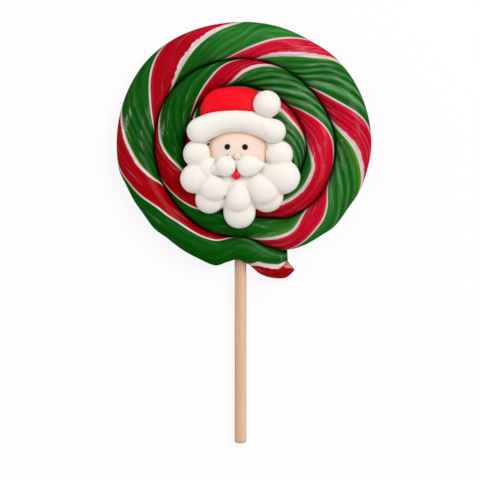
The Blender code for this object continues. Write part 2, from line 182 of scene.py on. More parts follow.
# What changes along the rope, by the names under which the candy's finish reads it.
MARKS_ALONG = {
    "line": THICK_LINE,
    "fringe": FRINGE_REACH,
    "torn": TORN_EDGE,
    "painted_light": PAINTED_LIGHT,
    "gloss": GLOSS,
    "ribs": RIDGE_DEPTH,
}

# The pulled strands' relief. A crest runs along the rope's free end: its place, at a turn angle, and its
# width are shares of the rope's girth. Ribs run along each band. Deep ones get painted shade in their
# valleys, and their crests, like the crest, get a painted sheen.
CREST_PLACE = ((-22, 0.47), (-15, 0.487), (-8, 0.537), (0, 0.58), (6, 0.61), (1448, 0.61))
CREST_WIDTH = 0.03
CREST_HEIGHT = 0.5
CREST_ENDS = (0.0, 7.0)
# Painted sheen: how strongly a pale highlight line is painted along the tail's crest.
CREST_PAINTED_SHEEN = 4.0
RIB_COUNT = 5.0
RIB_CROWDING = 0.55
RIB_DRIFT = 0.3  # how far the ribs wander across a band, in ribs
RIB_DRIFT_RATE = 1.7  # how often they do in a turn
RIB_DRIFT_SHIFT = 2.0  # from one band to the next
RIB_DEEP = 0.35
RIB_SHADE = 0.85
RED_RIB_SHARE = 0.4  # of the depth of the green's ribs
RED_SWELL = 0.12
GREEN_SWELL = 0.22
# Where the painted sheen on the rib crests fades in and out, across a band.
SHEEN_STARTS = (0.1, 0.7)  # shares of the way across a band
SHEEN_ENDS = (0.88, 1.0)

# How much painted shade darkens the candy's colour along its edges, where 1 is full light and less is
# painted shade at the rim and in the grooves.
GROOVE_SHADE = 0.25
RIM_SHADE = 0.95
GROOVE_SHADE_REACH = 0.3

# A lump of icing is a ball or a drop: where its middle is, z over the head's base, its radius and half
# height. A drop's tip reaches out in a direction given in degrees from +X, and a high taper makes it
# slender. Stretch is length over width, and squareness 2 is an ellipse.
Lump = namedtuple(
    "Lump",
    "x y z radius height tip toward taper stretch squareness",
    defaults=(0.0, 0.0, 0.3, 1.0, 2.0),
)
BEARD = (
    Lump(-18.3, -4.0, 2.4, 5.3, 4.4),
    Lump(-18.9, -13.5, 2.4, 5.8, 4.8, 8.6, 33.0),
    Lump(-13.3, -21.4, 1.2, 5.6, 4.4),
    Lump(-11.9, -17.1, 4.0, 5.4, 4.0),
    Lump(-1.9, -26.5, 1.2, 6.2, 4.6),
    Lump(-2.4, -21.9, 4.0, 4.8, 4.4, 10.2, 92.0, 1.2),
    Lump(8.7, -20.2, 1.2, 6.3, 4.6),
    Lump(7.5, -17.9, 3.8, 5.8, 4.3, 8.4, 134.0),
    Lump(14.8, -12.9, 2.8, 6.6, 5.0, 10.6, 175.0),
    Lump(13.2, -4.3, 2.4, 5.45, 4.4),
)
# Lower lumps that fill the beard's gaps, between and behind its lobes.
BEARD_FILLING = (
    Lump(-2.1, -14.2, 0.9, 8.0, 4.4, stretch=2.1),
    Lump(-14.2, -10.2, 2.2, 5.2, 4.8),
    Lump(-15.4, -14.2, 1.9, 5.2, 4.4),
    Lump(-14.6, 0.0, -0.4, 2.0, 3.2),
    Lump(9.8, 0.2, 0.4, 2.6, 3.4),
    Lump(8.6, -10.4, 1.6, 3.2, 4.4),
    Lump(-3.0, -7.6, 5.6, 1.5, 2.2),
    Lump(-7.6, -22.4, 0.4, 2.6, 3.2),
    Lump(2.7, -21.9, 0.6, 2.4, 3.6),
)
FACE = Lump(-2.2, -2.9, 1.2, 10.4, 5.0, stretch=1.11, squareness=2.5)
HAT = Lump(-4.0, 10.3, 1.0, 11.4, 5.0, stretch=1.13, squareness=2.7)
POMPOM = Lump(8.6, 14.95, 4.3, 5.35, 5.4)
MOUSTACHE_LEFT = Lump(-7.2, -8.8, 6.6, 4.05, 3.0)
MOUSTACHE_TAIL = Lump(-9.3, -9.8, 5.6, 2.7, 2.3, 4.9, 186.0, 0.3)
MOUSTACHE_RIGHT = Lump(1.0, -8.8, 6.6, 4.2, 3.0, 7.0, 6.0, 0.5)
NOSE = Lump(-2.7, -5.0, 6.4, 1.5, 1.5)
MOUTH = Lump(-3.1, -12.3, 6.0, 1.7, 1.6, 2.3, 90.0)
EYE_LEFT = Lump(-6.5, -1.4, 5.6, 1.15, 0.8)
EYE_RIGHT = Lump(0.2, -1.5, 5.9, 1.15, 0.8)
SPECKS = (Lump(-13.9, -0.3, 3.9, 0.5, 0.5), Lump(-6.5, -4.5, 5.75, 0.26, 0.2))

# The hat's brim is a roll of icing along an arch, with a bead at its right end.
BRIM_LEFT = (-17.2, 4.8)
BRIM_TOP = (-3.3, 8.55)
BRIM_RIGHT = (10.8, 4.5)
BRIM_RADIUS = ((0.0, 5.0), (0.5, 4.6), (0.85, 4.6), (1.0, 4.4))
BRIM_HEIGHT = 4.2
BRIM_Z = 3.8
BRIM_BEAD = Lump(11.2, 4.6, 4.2, 4.75, 4.5)
BRIM_FOLD = Lump(8.8, 5.8, 4.6, 3.7, 3.7, toward=-38.0, stretch=1.9)
ALL_LUMPS = (*BEARD, FACE, HAT, POMPOM, MOUSTACHE_LEFT, MOUSTACHE_TAIL, MOUSTACHE_RIGHT, NOSE)
FACE_LUMPS = (*BEARD, FACE)

# How the icing is made. Its flat underside lies on the candy, a little under the CAD head's.
HEAD_FLOOR = HEAD_BASE - 0.7
BALL_SEGMENTS = 64
BALL_RINGS = 40
TIP_RISE = 0.5  # how a drop's height follows its slenderness, as a power
TAPER_LEAST = 1e-3
ARCH_STEPS = 41
BRIM_STRAIGHT = 0.625  # the share of a ball that goes along the arch, the rest goes over its round ends
ICING_VOXEL = 0.28
SMOOTHING_FACTOR = 0.5
BEARD_SMOOTHING = 12  # rounds of smoothing, as the next two
MOUSTACHE_SMOOTHING = 6
BRIM_SMOOTHING = 16
# Painted crease shade where lumps meet: how far its sharp part reaches, and a fainter painted spread round
# it, with its own reach and share.
CREASE_SHADE_REACH = 0.6  # of the crease itself, and then of the glow round it
CREASE_SHADE_HALO_REACH = 1.7
CREASE_SHADE_HALO = 0.3
TINY = 1e-9
POLE = 1e-6  # a point nearer to a ball's axis than this is its pole

# An unevenness is three waves: their length, and their depth, for a lump as a share of its radius. Each
# column of the ways says how one of them runs.
LUMP_WAVES = (7.0, 0.012)
BRIM_WAVES = (8.0, 0.09)
ROD_WAVES = (45.0, 0.01)  # for the stick, as a share of its radius
WAVE_WAYS = np.array([(1.0, -0.7, 1.2), (1.3, 1.1, -1.0), (0.0, 1.9, 0.9)])
WAVE_SHIFTS = (0.4, 0.0, 2.2)

# The stick is a ball drawn out: these shares of its half height are side, round edge and end face.
ROD_SIDE = 0.6
ROD_EDGE = 0.25
ROD_FACE = 0.15
ROD_SEGMENTS = 48
ROD_RINGS = 120

# The studio, in metres.
FLOOR_HALF = 4.0
FLOOR_GAP = 0.0001
FLOOR_WHITE = (0.12, 0.12, 0.12, 1.0)
FLOOR_GLOW = 7.22
KEY_PLACE = (1.3, 1.05, 1.9)
KEY_SIZE = (1.7, 1.7)
FILL_PLACE = (-1.9, 0.3, 1.1)
FILL_SIZE = (0.1, 1.4)
AMBIENT = (0.56, 0.56, 0.56, 1.0)
GLOW_FROM = (0.55, 0.45, 0.70)
GLOW_REACH = (0.72, 1.0)
GLOW_DIM = (0.03, 0.03, 0.03, 1.0)
GLOW_BRIGHT = (0.9, 0.9, 0.9, 1.0)
WHITE = (1.0, 1.0, 1.0, 1.0)
VIEW_CENTRE = (-1.7, -37.1)  # millimetres, as the next
CAMERA_TARGET_Z = 4.5
SENSOR = 36.0

# The finish of the candy. A grain is the scale, detail and roughness of a noise. Four other numbers are a
# ramp: it goes smoothly from the third, at the first, to the fourth, at the second. Without the fourth it
# ends at 1, and without the third it starts at 0. A scale is across a band and along it.
STRAND_SCALE = (13.0, 0.10)
FIBRE_GRAIN = (1.0, 3.0, 0.6)
HAIR_GRAIN = (3.4, 2.0, 0.5)
CLOUD_GRAIN = (0.09, 2.0)
TORN_SCALE = 0.6
TORN_GRAIN = (1.0, 1.5)
BAND_SEEDS = (5.3, 2.1)  # they set the noise of one band apart from the next's
PAINTED_LIGHT_FIBRES = (0.25, 0.65, 0.55, 1.0)
CLOUDED = (0.45, 0.7, 0.0, 0.15)
CLOUDED_BY_PAINTED_LIGHT = (0.0, 0.5, 0.2)
SHEEN_BY_PAINTED_LIGHT = (0.0, 0.8, 0.2)
SHEEN_FIBRES = (0.35, 0.6, 0.4, 1.0)
FRINGE_START = 0.02
FRINGE_STRENGTH = 0.8
DARK_HAIRS = (0.58, 0.72, 0.0, 0.4)
BLUSH_REACH = (0.03, 0.06, 0.6, 0.0)
BLUSH_BY_PAINTED_LIGHT = (0.0, 0.5, 0.1)
WARM_FIBRES = (0.4, 0.6)
THIN_LINE_EDGE = (0.7, 1.3, 1.0, 0.0)  # in half widths, as the next
THICK_LINE_EDGE = (0.85, 1.15, 1.0, 0.0)
# Painted glints: thin pale highlight lines painted along the bands.
PAINTED_GLINT_SCALE = (26.0, 0.05)
PAINTED_GLINT_EDGE = (0.975, 1.0)
PAINTED_GLINT_PATCH_GRAIN = (0.5, 2.0)
PAINTED_GLINT_PATCHES = (0.56, 0.66, 0.0, 0.4)
PAINTED_GLINT_BY_RIBS = (0.05, 0.35, 0.6, 1.2)
CUT_GRAIN = (0.5, 3.0)
CUT_MOTTLE = (0.35, 0.65)
CANDY_ROUGHNESS = (0.35, 0.7, 0.42, 0.55)
GLOSS_HAIRS = (0.4, 0.6, 0.6, 1.0)
FINE_RIBS = 11.0  # across a band
FINE_RIB_WOBBLE = 0.06
RIB_PATCH_SCALE = (2.5, 0.04)
RIB_PATCHES = (0.35, 0.6)
RED_SMOOTHNESS = 0.8
FINE_RIB_DEPTH = 0.2  # millimetres, as the next two
HAIR_DEPTH = 0.04
DENT_DEPTH = 0.2
DENT_GRAIN = (0.35, 2.0)

# The finish of the icing.
ICING_CLOUD = (0.12, 2.0)
ICING_GRAIN = (2.2, 3.0)
ICING_SHADE = (0.45, 0.75, 0.0, 0.06)
ICING_ROUGHNESS = (0.3, 0.7, 0.42, 0.6)
ICING_GRAIN_HEIGHT = 0.15
ICING_BUMP = (0.25, 0.6)  # distance in millimetres and strength
CREASE_SHADE_CLOUD = (0.3, 0.7, 0.75, 1.0)
# How strongly each icing is darkened with painted crease shade where its lumps meet.
WHITE_CREASE_SHADE_SHARE = 0.4  # how strongly each icing is tinted in its seams
RED_CREASE_SHADE_SHARE = 0.8
FACE_CREASE_SHADE_SHARE = 0.85
SMALL_CREASE_SHADE_SHARE = 0.2

# The finish of the stick. Here a grain has two scales: across the stick and along it.
WOOD_GRAIN = (2.2, 0.05, 4.0, 0.6)
WOOD_STREAKS = (0.5, 0.02, 2.0)
WOOD_PORES = (5.0, 0.35, 2.0)
DARK_GRAIN = (0.35, 0.7)
# Painted light: how much paler the stick's +X side is painted, the side the key light falls on.
PALE_SIDE = 0.45
PALE_STREAKS = (0.4, 0.7, 0.0, 0.3)
DARK_PORES = (0.62, 0.72, 0.0, 0.6)
STAIN_REACH = (-54.0, -45.0)  # along the stick, from clean wood to the darkest stain
STAINED_GRAIN = (0.42, 0.6, 0.0, 0.4)
WOOD_BUMP = (0.12, 0.5)


def smooth_curve(stations, at):
    """A curve through the stations that bends smoothly and never swings past one: cubic pieces whose
    slopes are weighted harmonic means of the slopes on either side."""
    x, y = np.array(stations, float).T
    run = np.diff(x)
    slope = np.diff(y) / run
    tangent = np.zeros_like(y)
    tangent[0], tangent[-1] = slope[0], slope[-1]
    before, after = 2 * run[1:] + run[:-1], run[1:] + 2 * run[:-1]
    rising = slope[:-1] * slope[1:] > 0
    safe_before = np.where(rising, slope[:-1], 1.0)
    safe_after = np.where(rising, slope[1:], 1.0)
    tangent[1:-1] = np.where(rising, (before + after) / (before / safe_before + after / safe_after), 0.0)
    at = np.asarray(at, float)
    k = np.clip(np.searchsorted(x, at, side="right") - 1, 0, len(run) - 1)
    s = (at - x[k]) / run[k]
    return (
        (1 + 2 * s) * (1 - s) ** 2 * y[k]
        + s * (1 - s) ** 2 * run[k] * tangent[k]
        + s**2 * (3 - 2 * s) * y[k + 1]
        + s**2 * (s - 1) * run[k] * tangent[k + 1]
    )


def ease(value, low, high):
    """0 below low, 1 above high, and smooth between."""
    s = np.clip((value - low) / (high - low), 0.0, 1.0)
    return s * s * (3 - 2 * s)


def bell(value, middle, width):
    """A bell curve: 1 in the middle, and about a third at width from it."""
    return np.exp(-(((value - middle) / width) ** 2))


def waves(points, length, depth):
    """A gentle unevenness: the mean of three sine waves of about the given length, each its own way."""
    turns = (2 * math.pi / length) * points @ WAVE_WAYS + WAVE_SHIFTS
    return depth / len(WAVE_SHIFTS) * np.sin(turns).sum(axis=1)


class Skin:
    """A mesh while it is put together: points in millimetres with named marks, and faces with values at
    their corners."""

    def __init__(self, mark_names=()):
        self.mark_names = mark_names
        self.points = np.zeros((0, 3))
        self.marks = np.zeros((0, len(mark_names)))
        self.faces = []
        self.corners = []

    def add_points(self, points, marks=0.0):
        """Adds an array of points of any shape and returns their numbers in the same shape."""
        points = np.asarray(points, float)
        shape = points.shape[:-1]
        count = math.prod(shape)
        marks = np.broadcast_to(marks, (*shape, len(self.mark_names)))
        numbers = len(self.points) + np.arange(count).reshape(shape)
        self.points = np.concatenate([self.points, points.reshape(count, 3)])
        self.marks = np.concatenate([self.marks, marks.reshape(count, len(self.mark_names))])
        return numbers

    def add_faces(self, numbers, values):
        """Faces as rows of point numbers, with a row of values for each corner."""
        self.faces.append(numbers)
        self.corners.append(values)

    def add_grid(self, numbers, values, flip=False, halves=False):
        """Quads between neighbours of a grid of point numbers. Values is the same grid, one row each.
        Halves splits each quad from its second corner to its last, which is how the strands run."""
        quad = ((0, 0), (0, 1), (1, 1), (1, 0))
        order = slice(None, None, -1 if flip else 1)
        rows, columns = numbers.shape[0] - 1, numbers.shape[1] - 1
        for picks in ((quad[:2] + quad[3:], quad[1:]) if halves else (quad,)):
            faces = np.stack([numbers[a : a + rows, b : b + columns] for a, b in picks], axis=-1)
            corner = np.stack([values[a : a + rows, b : b + columns] for a, b in picks], axis=-2)
            faces = faces.reshape(-1, len(picks))
            self.add_faces(faces[:, order], corner.reshape(*faces.shape, -1)[:, order])

    def add_fan(self, loop, middle, values, middle_value, flip=False):
        """Triangles from a closed loop to one point."""
        triangles = np.stack([loop, np.roll(loop, -1), np.full_like(loop, middle)], axis=-1)
        centre = np.broadcast_to(middle_value, values.shape)
        corner = np.stack([values, np.roll(values, -1, axis=0), centre], axis=-2)
        order = slice(None, None, -1 if flip else 1)
        self.add_faces(triangles[:, order], corner[:, order])

    def mesh(self, name, uv_names=()):
        """The finished mesh, in metres, shaded smooth. Corner values go to UV maps two by two."""
        data = bpy.data.meshes.new(name)
        faces = [face for part in self.faces for face in part.tolist()]
        data.from_pydata(self.points * MM, [], faces)
        values = np.concatenate([part.reshape(-1, part.shape[-1]) for part in self.corners])
        for place, uv_name in enumerate(uv_names):
            layer = data.uv_layers.new(name=uv_name)
            layer.data.foreach_set("uv", values[:, 2 * place : 2 * place + 2].ravel())
        for place, mark_name in enumerate(self.mark_names):
            layer = data.attributes.new(mark_name, "FLOAT", "POINT")
            layer.data.foreach_set("value", np.ascontiguousarray(self.marks[:, place]))
        data.shade_smooth()
        data.update()
        return data


def finish_piece(name, data, made_of, node=None):
    """Puts a finished mesh in the scene: it rides on the part, and stands for the CAD node named."""
    piece = bpy.data.objects.new(name, data)
    bpy.context.scene.collection.objects.link(piece)
    data.materials.append(made_of)
    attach(piece, BODY)
    if node:
        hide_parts(node)


class Wiring:
    """Makes the nodes of one tree. A value is a number or a colour, or another node's output."""

    def __init__(self, tree):
        self.tree = tree

    def node(self, kind, inputs=(), **settings):
        """A node of a kind, with values for its inputs by name, and its own settings."""
        made = self.tree.nodes.new(kind)
        for name, value in settings.items():
            setattr(made, name, value)
        for name, value in dict(inputs).items():
            self.plug(value, made.inputs[name])
        return made

    def plug(self, value, socket):
        """Links another node's output to a socket, or sets the socket to a number or colour."""
        if isinstance(value, bpy.types.NodeSocket):
            self.tree.links.new(value, socket)
        else:
            socket.default_value = value

    def math(self, operation, *values):
        made = self.tree.nodes.new("ShaderNodeMath")
        made.operation = operation
        for value, socket in zip(values, made.inputs):
            self.plug(value, socket)
        return made.outputs[0]

    def times(self, *values):
        return reduce(lambda first, second: self.math("MULTIPLY", first, second), values)

    def plus(self, *values):
        return reduce(lambda first, second: self.math("ADD", first, second), values)

    def less(self, first, second):
        return self.math("SUBTRACT", first, second)

    def over(self, first, second):
        return self.math("DIVIDE", first, second)

    def mix(self, share, first, second, blend="MIX"):
        """The first colour where share is 0 and the second, or its blend with the first, where it is 1."""
        made = self.tree.nodes.new("ShaderNodeMix")
        made.data_type = "RGBA"
        made.blend_type = blend
        for value, socket in zip((share, first, second), (made.inputs[0], made.inputs[6], made.inputs[7])):
            self.plug(value, socket)
        return made.outputs[2]

    def step(self, value, low, high, start=0.0, end=1.0):
        """Goes smoothly from start at low to end at high."""
        made = self.tree.nodes.new("ShaderNodeMapRange")
        made.interpolation_type = "SMOOTHSTEP"
        for number, socket in zip((value, low, high, start, end), made.inputs):
            self.plug(number, socket)
        return made.outputs[0]

    def vector(self, x, y, z=0.0):
        return self.node("ShaderNodeCombineXYZ", {"X": x, "Y": y, "Z": z}).outputs[0]

    def noise(self, vector, scale=1.0, detail=2.0, roughness=0.5):
        settings = {"Vector": vector, "Scale": scale, "Detail": detail, "Roughness": roughness}
        return self.node("ShaderNodeTexNoise", settings).outputs[0]

    def millimetres(self, stretch=(1.0, 1.0, 1.0)):
        """Object coordinates, in millimetres, drawn out along an axis where stretch is under 1."""
        place = self.node("ShaderNodeTexCoord").outputs["Object"]
        scale = tuple(share / MM for share in stretch)
        return self.node("ShaderNodeMapping", {"Vector": place, "Scale": scale}).outputs[0]

    def uv_pair(self, name):
        """The two values of a UV map."""
        pair = self.node("ShaderNodeUVMap", uv_map=name).outputs[0]
        split = self.node("ShaderNodeSeparateXYZ", {"Vector": pair})
        return split.outputs[0], split.outputs[1]

    def attribute(self, name):
        return self.node("ShaderNodeAttribute", attribute_name=name).outputs["Fac"]

    def bump(self, height, distance, strength=1.0):
        """A normal from a height, which counts in steps of a distance in millimetres."""
        settings = {"Height": height, "Distance": distance * MM, "Strength": strength}
        return self.node("ShaderNodeBump", settings).outputs[0]


def new_material(name, **values):
    """A material with its Principled shader, and the wiring to dress it. Values set its sockets."""
    made = bpy.data.materials.new(name)
    made.use_nodes = True
    shader = made.node_tree.nodes["Principled BSDF"]
    for socket, value in values.items():
        shader.inputs[socket.replace("_", " ")].default_value = value
    return made, shader, Wiring(made.node_tree)


Twist = namedtuple("Twist", "red lead_gap trail_gap share along band strand fibres hairs cloud")


def candy_twist(wire):
    """What the candy's finish follows. The two line positions tell where it is red, how far a point is
    from each white line, and its share of the way across its own band. A noise drawn out along the band
    gives fibres and finer hairs, and a broad one the clouds of air."""
    lead, trail = wire.uv_pair("Twist")
    along, _ = wire.uv_pair("Rope")
    lead_turn = wire.math("FLOOR", lead)
    red = wire.less(lead_turn, wire.math("FLOOR", trail))
    since_lead = wire.less(lead, lead_turn)
    since_trail = wire.math("FRACT", trail)
    red_share = wire.over(since_lead, wire.plus(since_lead, wire.less(1.0, since_trail)))
    green_share = wire.over(since_trail, wire.plus(since_trail, wire.less(1.0, since_lead)))
    share = wire.plus(green_share, wire.times(red, wire.less(red_share, green_share)))
    band = wire.plus(wire.times(lead_turn, BAND_SEEDS[0]), wire.times(red, BAND_SEEDS[1]))
    torn = wire.noise(wire.vector(wire.times(along, TORN_SCALE), band), *TORN_GRAIN)
    torn = wire.times(wire.less(torn, 0.5), wire.times(red, wire.attribute("torn")))
    trail_gap = wire.plus(wire.math("PINGPONG", trail, 0.5), torn)
    strand = band_vector(wire, share, along, band, STRAND_SCALE)
    fibres = wire.noise(strand, *FIBRE_GRAIN)
    hairs = wire.noise(strand, *HAIR_GRAIN)
    cloud = wire.noise(wire.millimetres(), *CLOUD_GRAIN)
    lead_gap = wire.math("PINGPONG", lead, 0.5)
    return Twist(red, lead_gap, trail_gap, share, along, band, strand, fibres, hairs, cloud)


def band_vector(wire, share, along, band, scale):
    """A place for a noise: the share of the way across a band, the length along it, and the band."""
    return wire.vector(wire.times(share, scale[0]), wire.times(along, scale[1]), band)


def band_colours(wire, settings, twist):
    """The red and green bands: paler where light is painted in and in random clouds, with a painted sheen
    on the strands' crests, yellow green beside the thick line, and in the red darker hairs and a pink
    blush along the lines."""
    # Painted light: the table along the rope paints the bands paler where the key light falls, broken by
    # fibres, and random clouds add to it.
    painted_light_and_clouds = wire.times(wire.attribute("painted_light"), wire.step(twist.fibres, *PAINTED_LIGHT_FIBRES))
    clouded = wire.times(wire.step(twist.cloud, *CLOUDED), wire.step(painted_light_and_clouds, *CLOUDED_BY_PAINTED_LIGHT))
    painted_light_and_clouds = wire.plus(painted_light_and_clouds, clouded)
    # Painted sheen: pale highlights painted along the strands' crests.
    painted_sheen = wire.times(wire.attribute("painted_sheen"), wire.step(painted_light_and_clouds, *SHEEN_BY_PAINTED_LIGHT))
    painted_sheen = wire.times(painted_sheen, wire.step(twist.fibres, *SHEEN_FIBRES))
    green = wire.mix(painted_light_and_clouds, settings.green_deep, settings.green_pale)
    green = wire.mix(painted_sheen, green, settings.green_sheen)
    yellow = wire.step(twist.trail_gap, FRINGE_START, wire.attribute("fringe"), FRINGE_STRENGTH, 0.0)
    green = wire.mix(yellow, green, settings.fringe)
    red = wire.mix(painted_light_and_clouds, settings.red_deep, settings.red_pale)
    red = wire.mix(painted_sheen, red, settings.red_sheen)
    red = wire.mix(wire.step(twist.hairs, *DARK_HAIRS), red, settings.red_deep)
    near_line = wire.math("MINIMUM", twist.lead_gap, twist.trail_gap)
    blush = wire.times(wire.step(near_line, *BLUSH_REACH), wire.step(painted_light_and_clouds, *BLUSH_BY_PAINTED_LIGHT))
    red = wire.mix(blush, red, settings.blush)
    return wire.mix(twist.red, green, red)


def line_mask(wire, settings, twist):
    """1 on the white lines: the thin one that leads a red band, and the thick one that trails it."""
    thin = wire.step(wire.over(twist.lead_gap, settings.thin_line), *THIN_LINE_EDGE)
    thick = wire.step(wire.over(twist.trail_gap, wire.attribute("line")), *THICK_LINE_EDGE)
    return wire.math("MAXIMUM", thin, thick)


def painted_glint_mask(wire, twist):
    """Painted glints: fine pale highlight lines along the bands, in patches: they run where a noise is
    near one half.
    """
    glints = wire.noise(band_vector(wire, twist.share, twist.along, twist.band, PAINTED_GLINT_SCALE))
    glints = wire.step(wire.math("PINGPONG", wire.plus(glints, 0.5), 1.0), *PAINTED_GLINT_EDGE)
    patches = wire.step(wire.noise(twist.strand, *PAINTED_GLINT_PATCH_GRAIN), *PAINTED_GLINT_PATCHES)
    return wire.times(glints, patches, wire.step(wire.attribute("ribs"), *PAINTED_GLINT_BY_RIBS))


def candy_relief(wire, twist):
    """Height of the candy's fine relief, in millimetres: thin ribs in patches, mostly on the green, as the
    size of a sine across the band, the hairs, and shallow dents."""
    wobbling = wire.plus(twist.share, wire.times(twist.fibres, FINE_RIB_WOBBLE))
    fine = wire.math("ABSOLUTE", wire.math("SINE", wire.times(wobbling, FINE_RIBS * math.pi)))
    patches = wire.noise(band_vector(wire, twist.share, twist.along, twist.band, RIB_PATCH_SCALE))
    ribbed = wire.times(wire.attribute("ribs"), wire.step(patches, *RIB_PATCHES))
    ribbed = wire.times(ribbed, wire.less(1.0, wire.times(twist.red, RED_SMOOTHNESS)))
    dents = wire.noise(wire.millimetres(), *DENT_GRAIN)
    fine = wire.times(fine, ribbed, FINE_RIB_DEPTH)
    return wire.plus(fine, wire.times(twist.hairs, HAIR_DEPTH), wire.times(dents, DENT_DEPTH))


def boiled_sugar(settings):
    """Glossy pulled candy: red and green bands with fine lengthwise streaks, parted by white lines, with
    painted light, painted sheen, painted glints and painted shade in its colour.
    """
    made, shader, wire = new_material(
        "Boiled sugar", IOR=1.5, Specular_IOR_Level=0.0, Coat_Roughness=0.15,
        Subsurface_Weight=0.03, Subsurface_Radius=(1.0, 1.0, 0.8), Subsurface_Scale=0.0012,
    )
    twist = candy_twist(wire)
    white = wire.mix(wire.step(twist.fibres, *WARM_FIBRES), settings.white, settings.white_warm)
    candy = wire.mix(line_mask(wire, settings, twist), band_colours(wire, settings, twist), white)
    # Painted glints: thin pale highlight lines mixed into the colour.
    candy = wire.mix(painted_glint_mask(wire, twist), candy, settings.white)
    # Painted shade: the colour is multiplied towards the shade tint where the light mark is under 1, in
    # grooves, at the rim and in rib valleys.
    candy = wire.mix(wire.less(1.0, wire.attribute("light")), candy, settings.shade, "MULTIPLY")
    mottle = wire.step(wire.noise(wire.millimetres(), *CUT_GRAIN), *CUT_MOTTLE)
    inside = wire.mix(mottle, settings.cut, settings.blush)
    wire.plug(wire.mix(wire.attribute("cut"), candy, inside), shader.inputs["Base Color"])
    wire.plug(wire.step(twist.cloud, *CANDY_ROUGHNESS), shader.inputs["Roughness"])
    coat = wire.times(wire.attribute("gloss"), wire.step(twist.hairs, *GLOSS_HAIRS))
    wire.plug(coat, shader.inputs["Coat Weight"])
    wire.plug(wire.bump(candy_relief(wire, twist), 1.0), shader.inputs["Normal"])
    return made


def icing_group():
    """Sugar icing: painted shade darkens and warms its colour in the creases between lumps, with a fine
    soft grain.
    """
    name = "Icing"
    if name in bpy.data.node_groups:
        return bpy.data.node_groups[name]
    tree = bpy.data.node_groups.new(name, "ShaderNodeTree")
    # The Seam input carries the painted crease shade, and Seam colour is the colour it pulls towards.
    sockets = (
        ("INPUT", "Color", ("Sugar", "Seam colour")),
        ("INPUT", "Float", ("Seam",)),
        ("INPUT", "Vector", ("Vector",)),
        ("OUTPUT", "Color", ("Colour",)),
        ("OUTPUT", "Float", ("Roughness", "Height")),
    )
    for side, kind, names in sockets:
        for socket in names:
            tree.interface.new_socket(socket, in_out=side, socket_type="NodeSocket" + kind)
    wire = Wiring(tree)
    given = wire.node("NodeGroupInput").outputs
    cloud = wire.noise(given["Vector"], *ICING_CLOUD)
    grain = wire.noise(given["Vector"], *ICING_GRAIN)
    crease_shade = wire.times(given["Seam"], wire.step(cloud, *CREASE_SHADE_CLOUD))
    # Painted shade: the crease shade, with a little random cloudy tone, pulls the sugar towards the crease
    # colour.
    shade = wire.plus(crease_shade, wire.step(cloud, *ICING_SHADE))
    made = {
        "Colour": wire.mix(shade, given["Sugar"], given["Seam colour"]),
        "Roughness": wire.step(grain, *ICING_ROUGHNESS),
        "Height": wire.plus(wire.times(grain, ICING_GRAIN_HEIGHT), cloud),
    }
    wire.node("NodeGroupOutput", made)
    return tree


def icing(name, sugar, crease_shade_colour, strength, **values):
    """A material for a piped piece. Its crease shade attribute, which paints shade, is 1 where the piece
    meets another lump.
    """
    made, shader, wire = new_material(
        name, Subsurface_Radius=(1.0, 0.6, 0.4), Subsurface_Scale=0.0018, Specular_IOR_Level=0.12, **values
    )
    given = {
        "Sugar": sugar,
        "Seam colour": crease_shade_colour,
        "Seam": wire.times(wire.attribute("crease_shade"), strength),
        "Vector": wire.millimetres(),
    }
    finish = wire.node("ShaderNodeGroup", given, node_tree=icing_group()).outputs
    wire.plug(finish["Colour"], shader.inputs["Base Color"])
    wire.plug(finish["Roughness"], shader.inputs["Roughness"])
    wire.plug(wire.bump(finish["Height"], *ICING_BUMP), shader.inputs["Normal"])
    return made


def white_icing(settings):
    """The beard's and the hat's white, made once."""
    name = "White icing"
    if name in bpy.data.materials:
        return bpy.data.materials[name]
    return icing(name, settings.white, settings.white_crease_shade, WHITE_CREASE_SHADE_SHARE, Subsurface_Weight=0.5)


def wood_noise(wire, across, along, detail, roughness=0.5):
    """A noise drawn out along the stick."""
    return wire.noise(wire.millimetres((across, along, across)), 1.0, detail, roughness)


def birch(settings):
    """Plain sanded wood: fine grain drawn out along the stick, with a few darker pores and paler streaks,
    painted lighter towards +X where the key light falls, and stained below the candy."""
    made, shader, wire = new_material("Birch", Roughness=0.55)
    grain = wood_noise(wire, *WOOD_GRAIN)
    pores = wood_noise(wire, *WOOD_PORES)
    place = wire.node("ShaderNodeSeparateXYZ", {"Vector": wire.millimetres()}).outputs
    colour = wire.mix(wire.step(grain, *DARK_GRAIN), settings.wood, settings.wood_dark)
    # Painted light: paler towards +X, on the side the key light falls on, with random paler streaks added.
    pale = wire.step(place["X"], STICK_BOX[0][0], STICK_BOX[1][0], 0.0, PALE_SIDE)
    pale = wire.plus(pale, wire.step(wood_noise(wire, *WOOD_STREAKS), *PALE_STREAKS))
    colour = wire.mix(pale, colour, settings.wood_pale)
    colour = wire.mix(wire.step(pores, *DARK_PORES), colour, settings.wood_dark)
    stain = wire.times(wire.step(place["Y"], *STAIN_REACH), wire.step(grain, *STAINED_GRAIN))
    wire.plug(wire.mix(stain, colour, settings.stain), shader.inputs["Base Color"])
    wire.plug(wire.bump(wire.plus(grain, pores), *WOOD_BUMP), shader.inputs["Normal"])
    return made


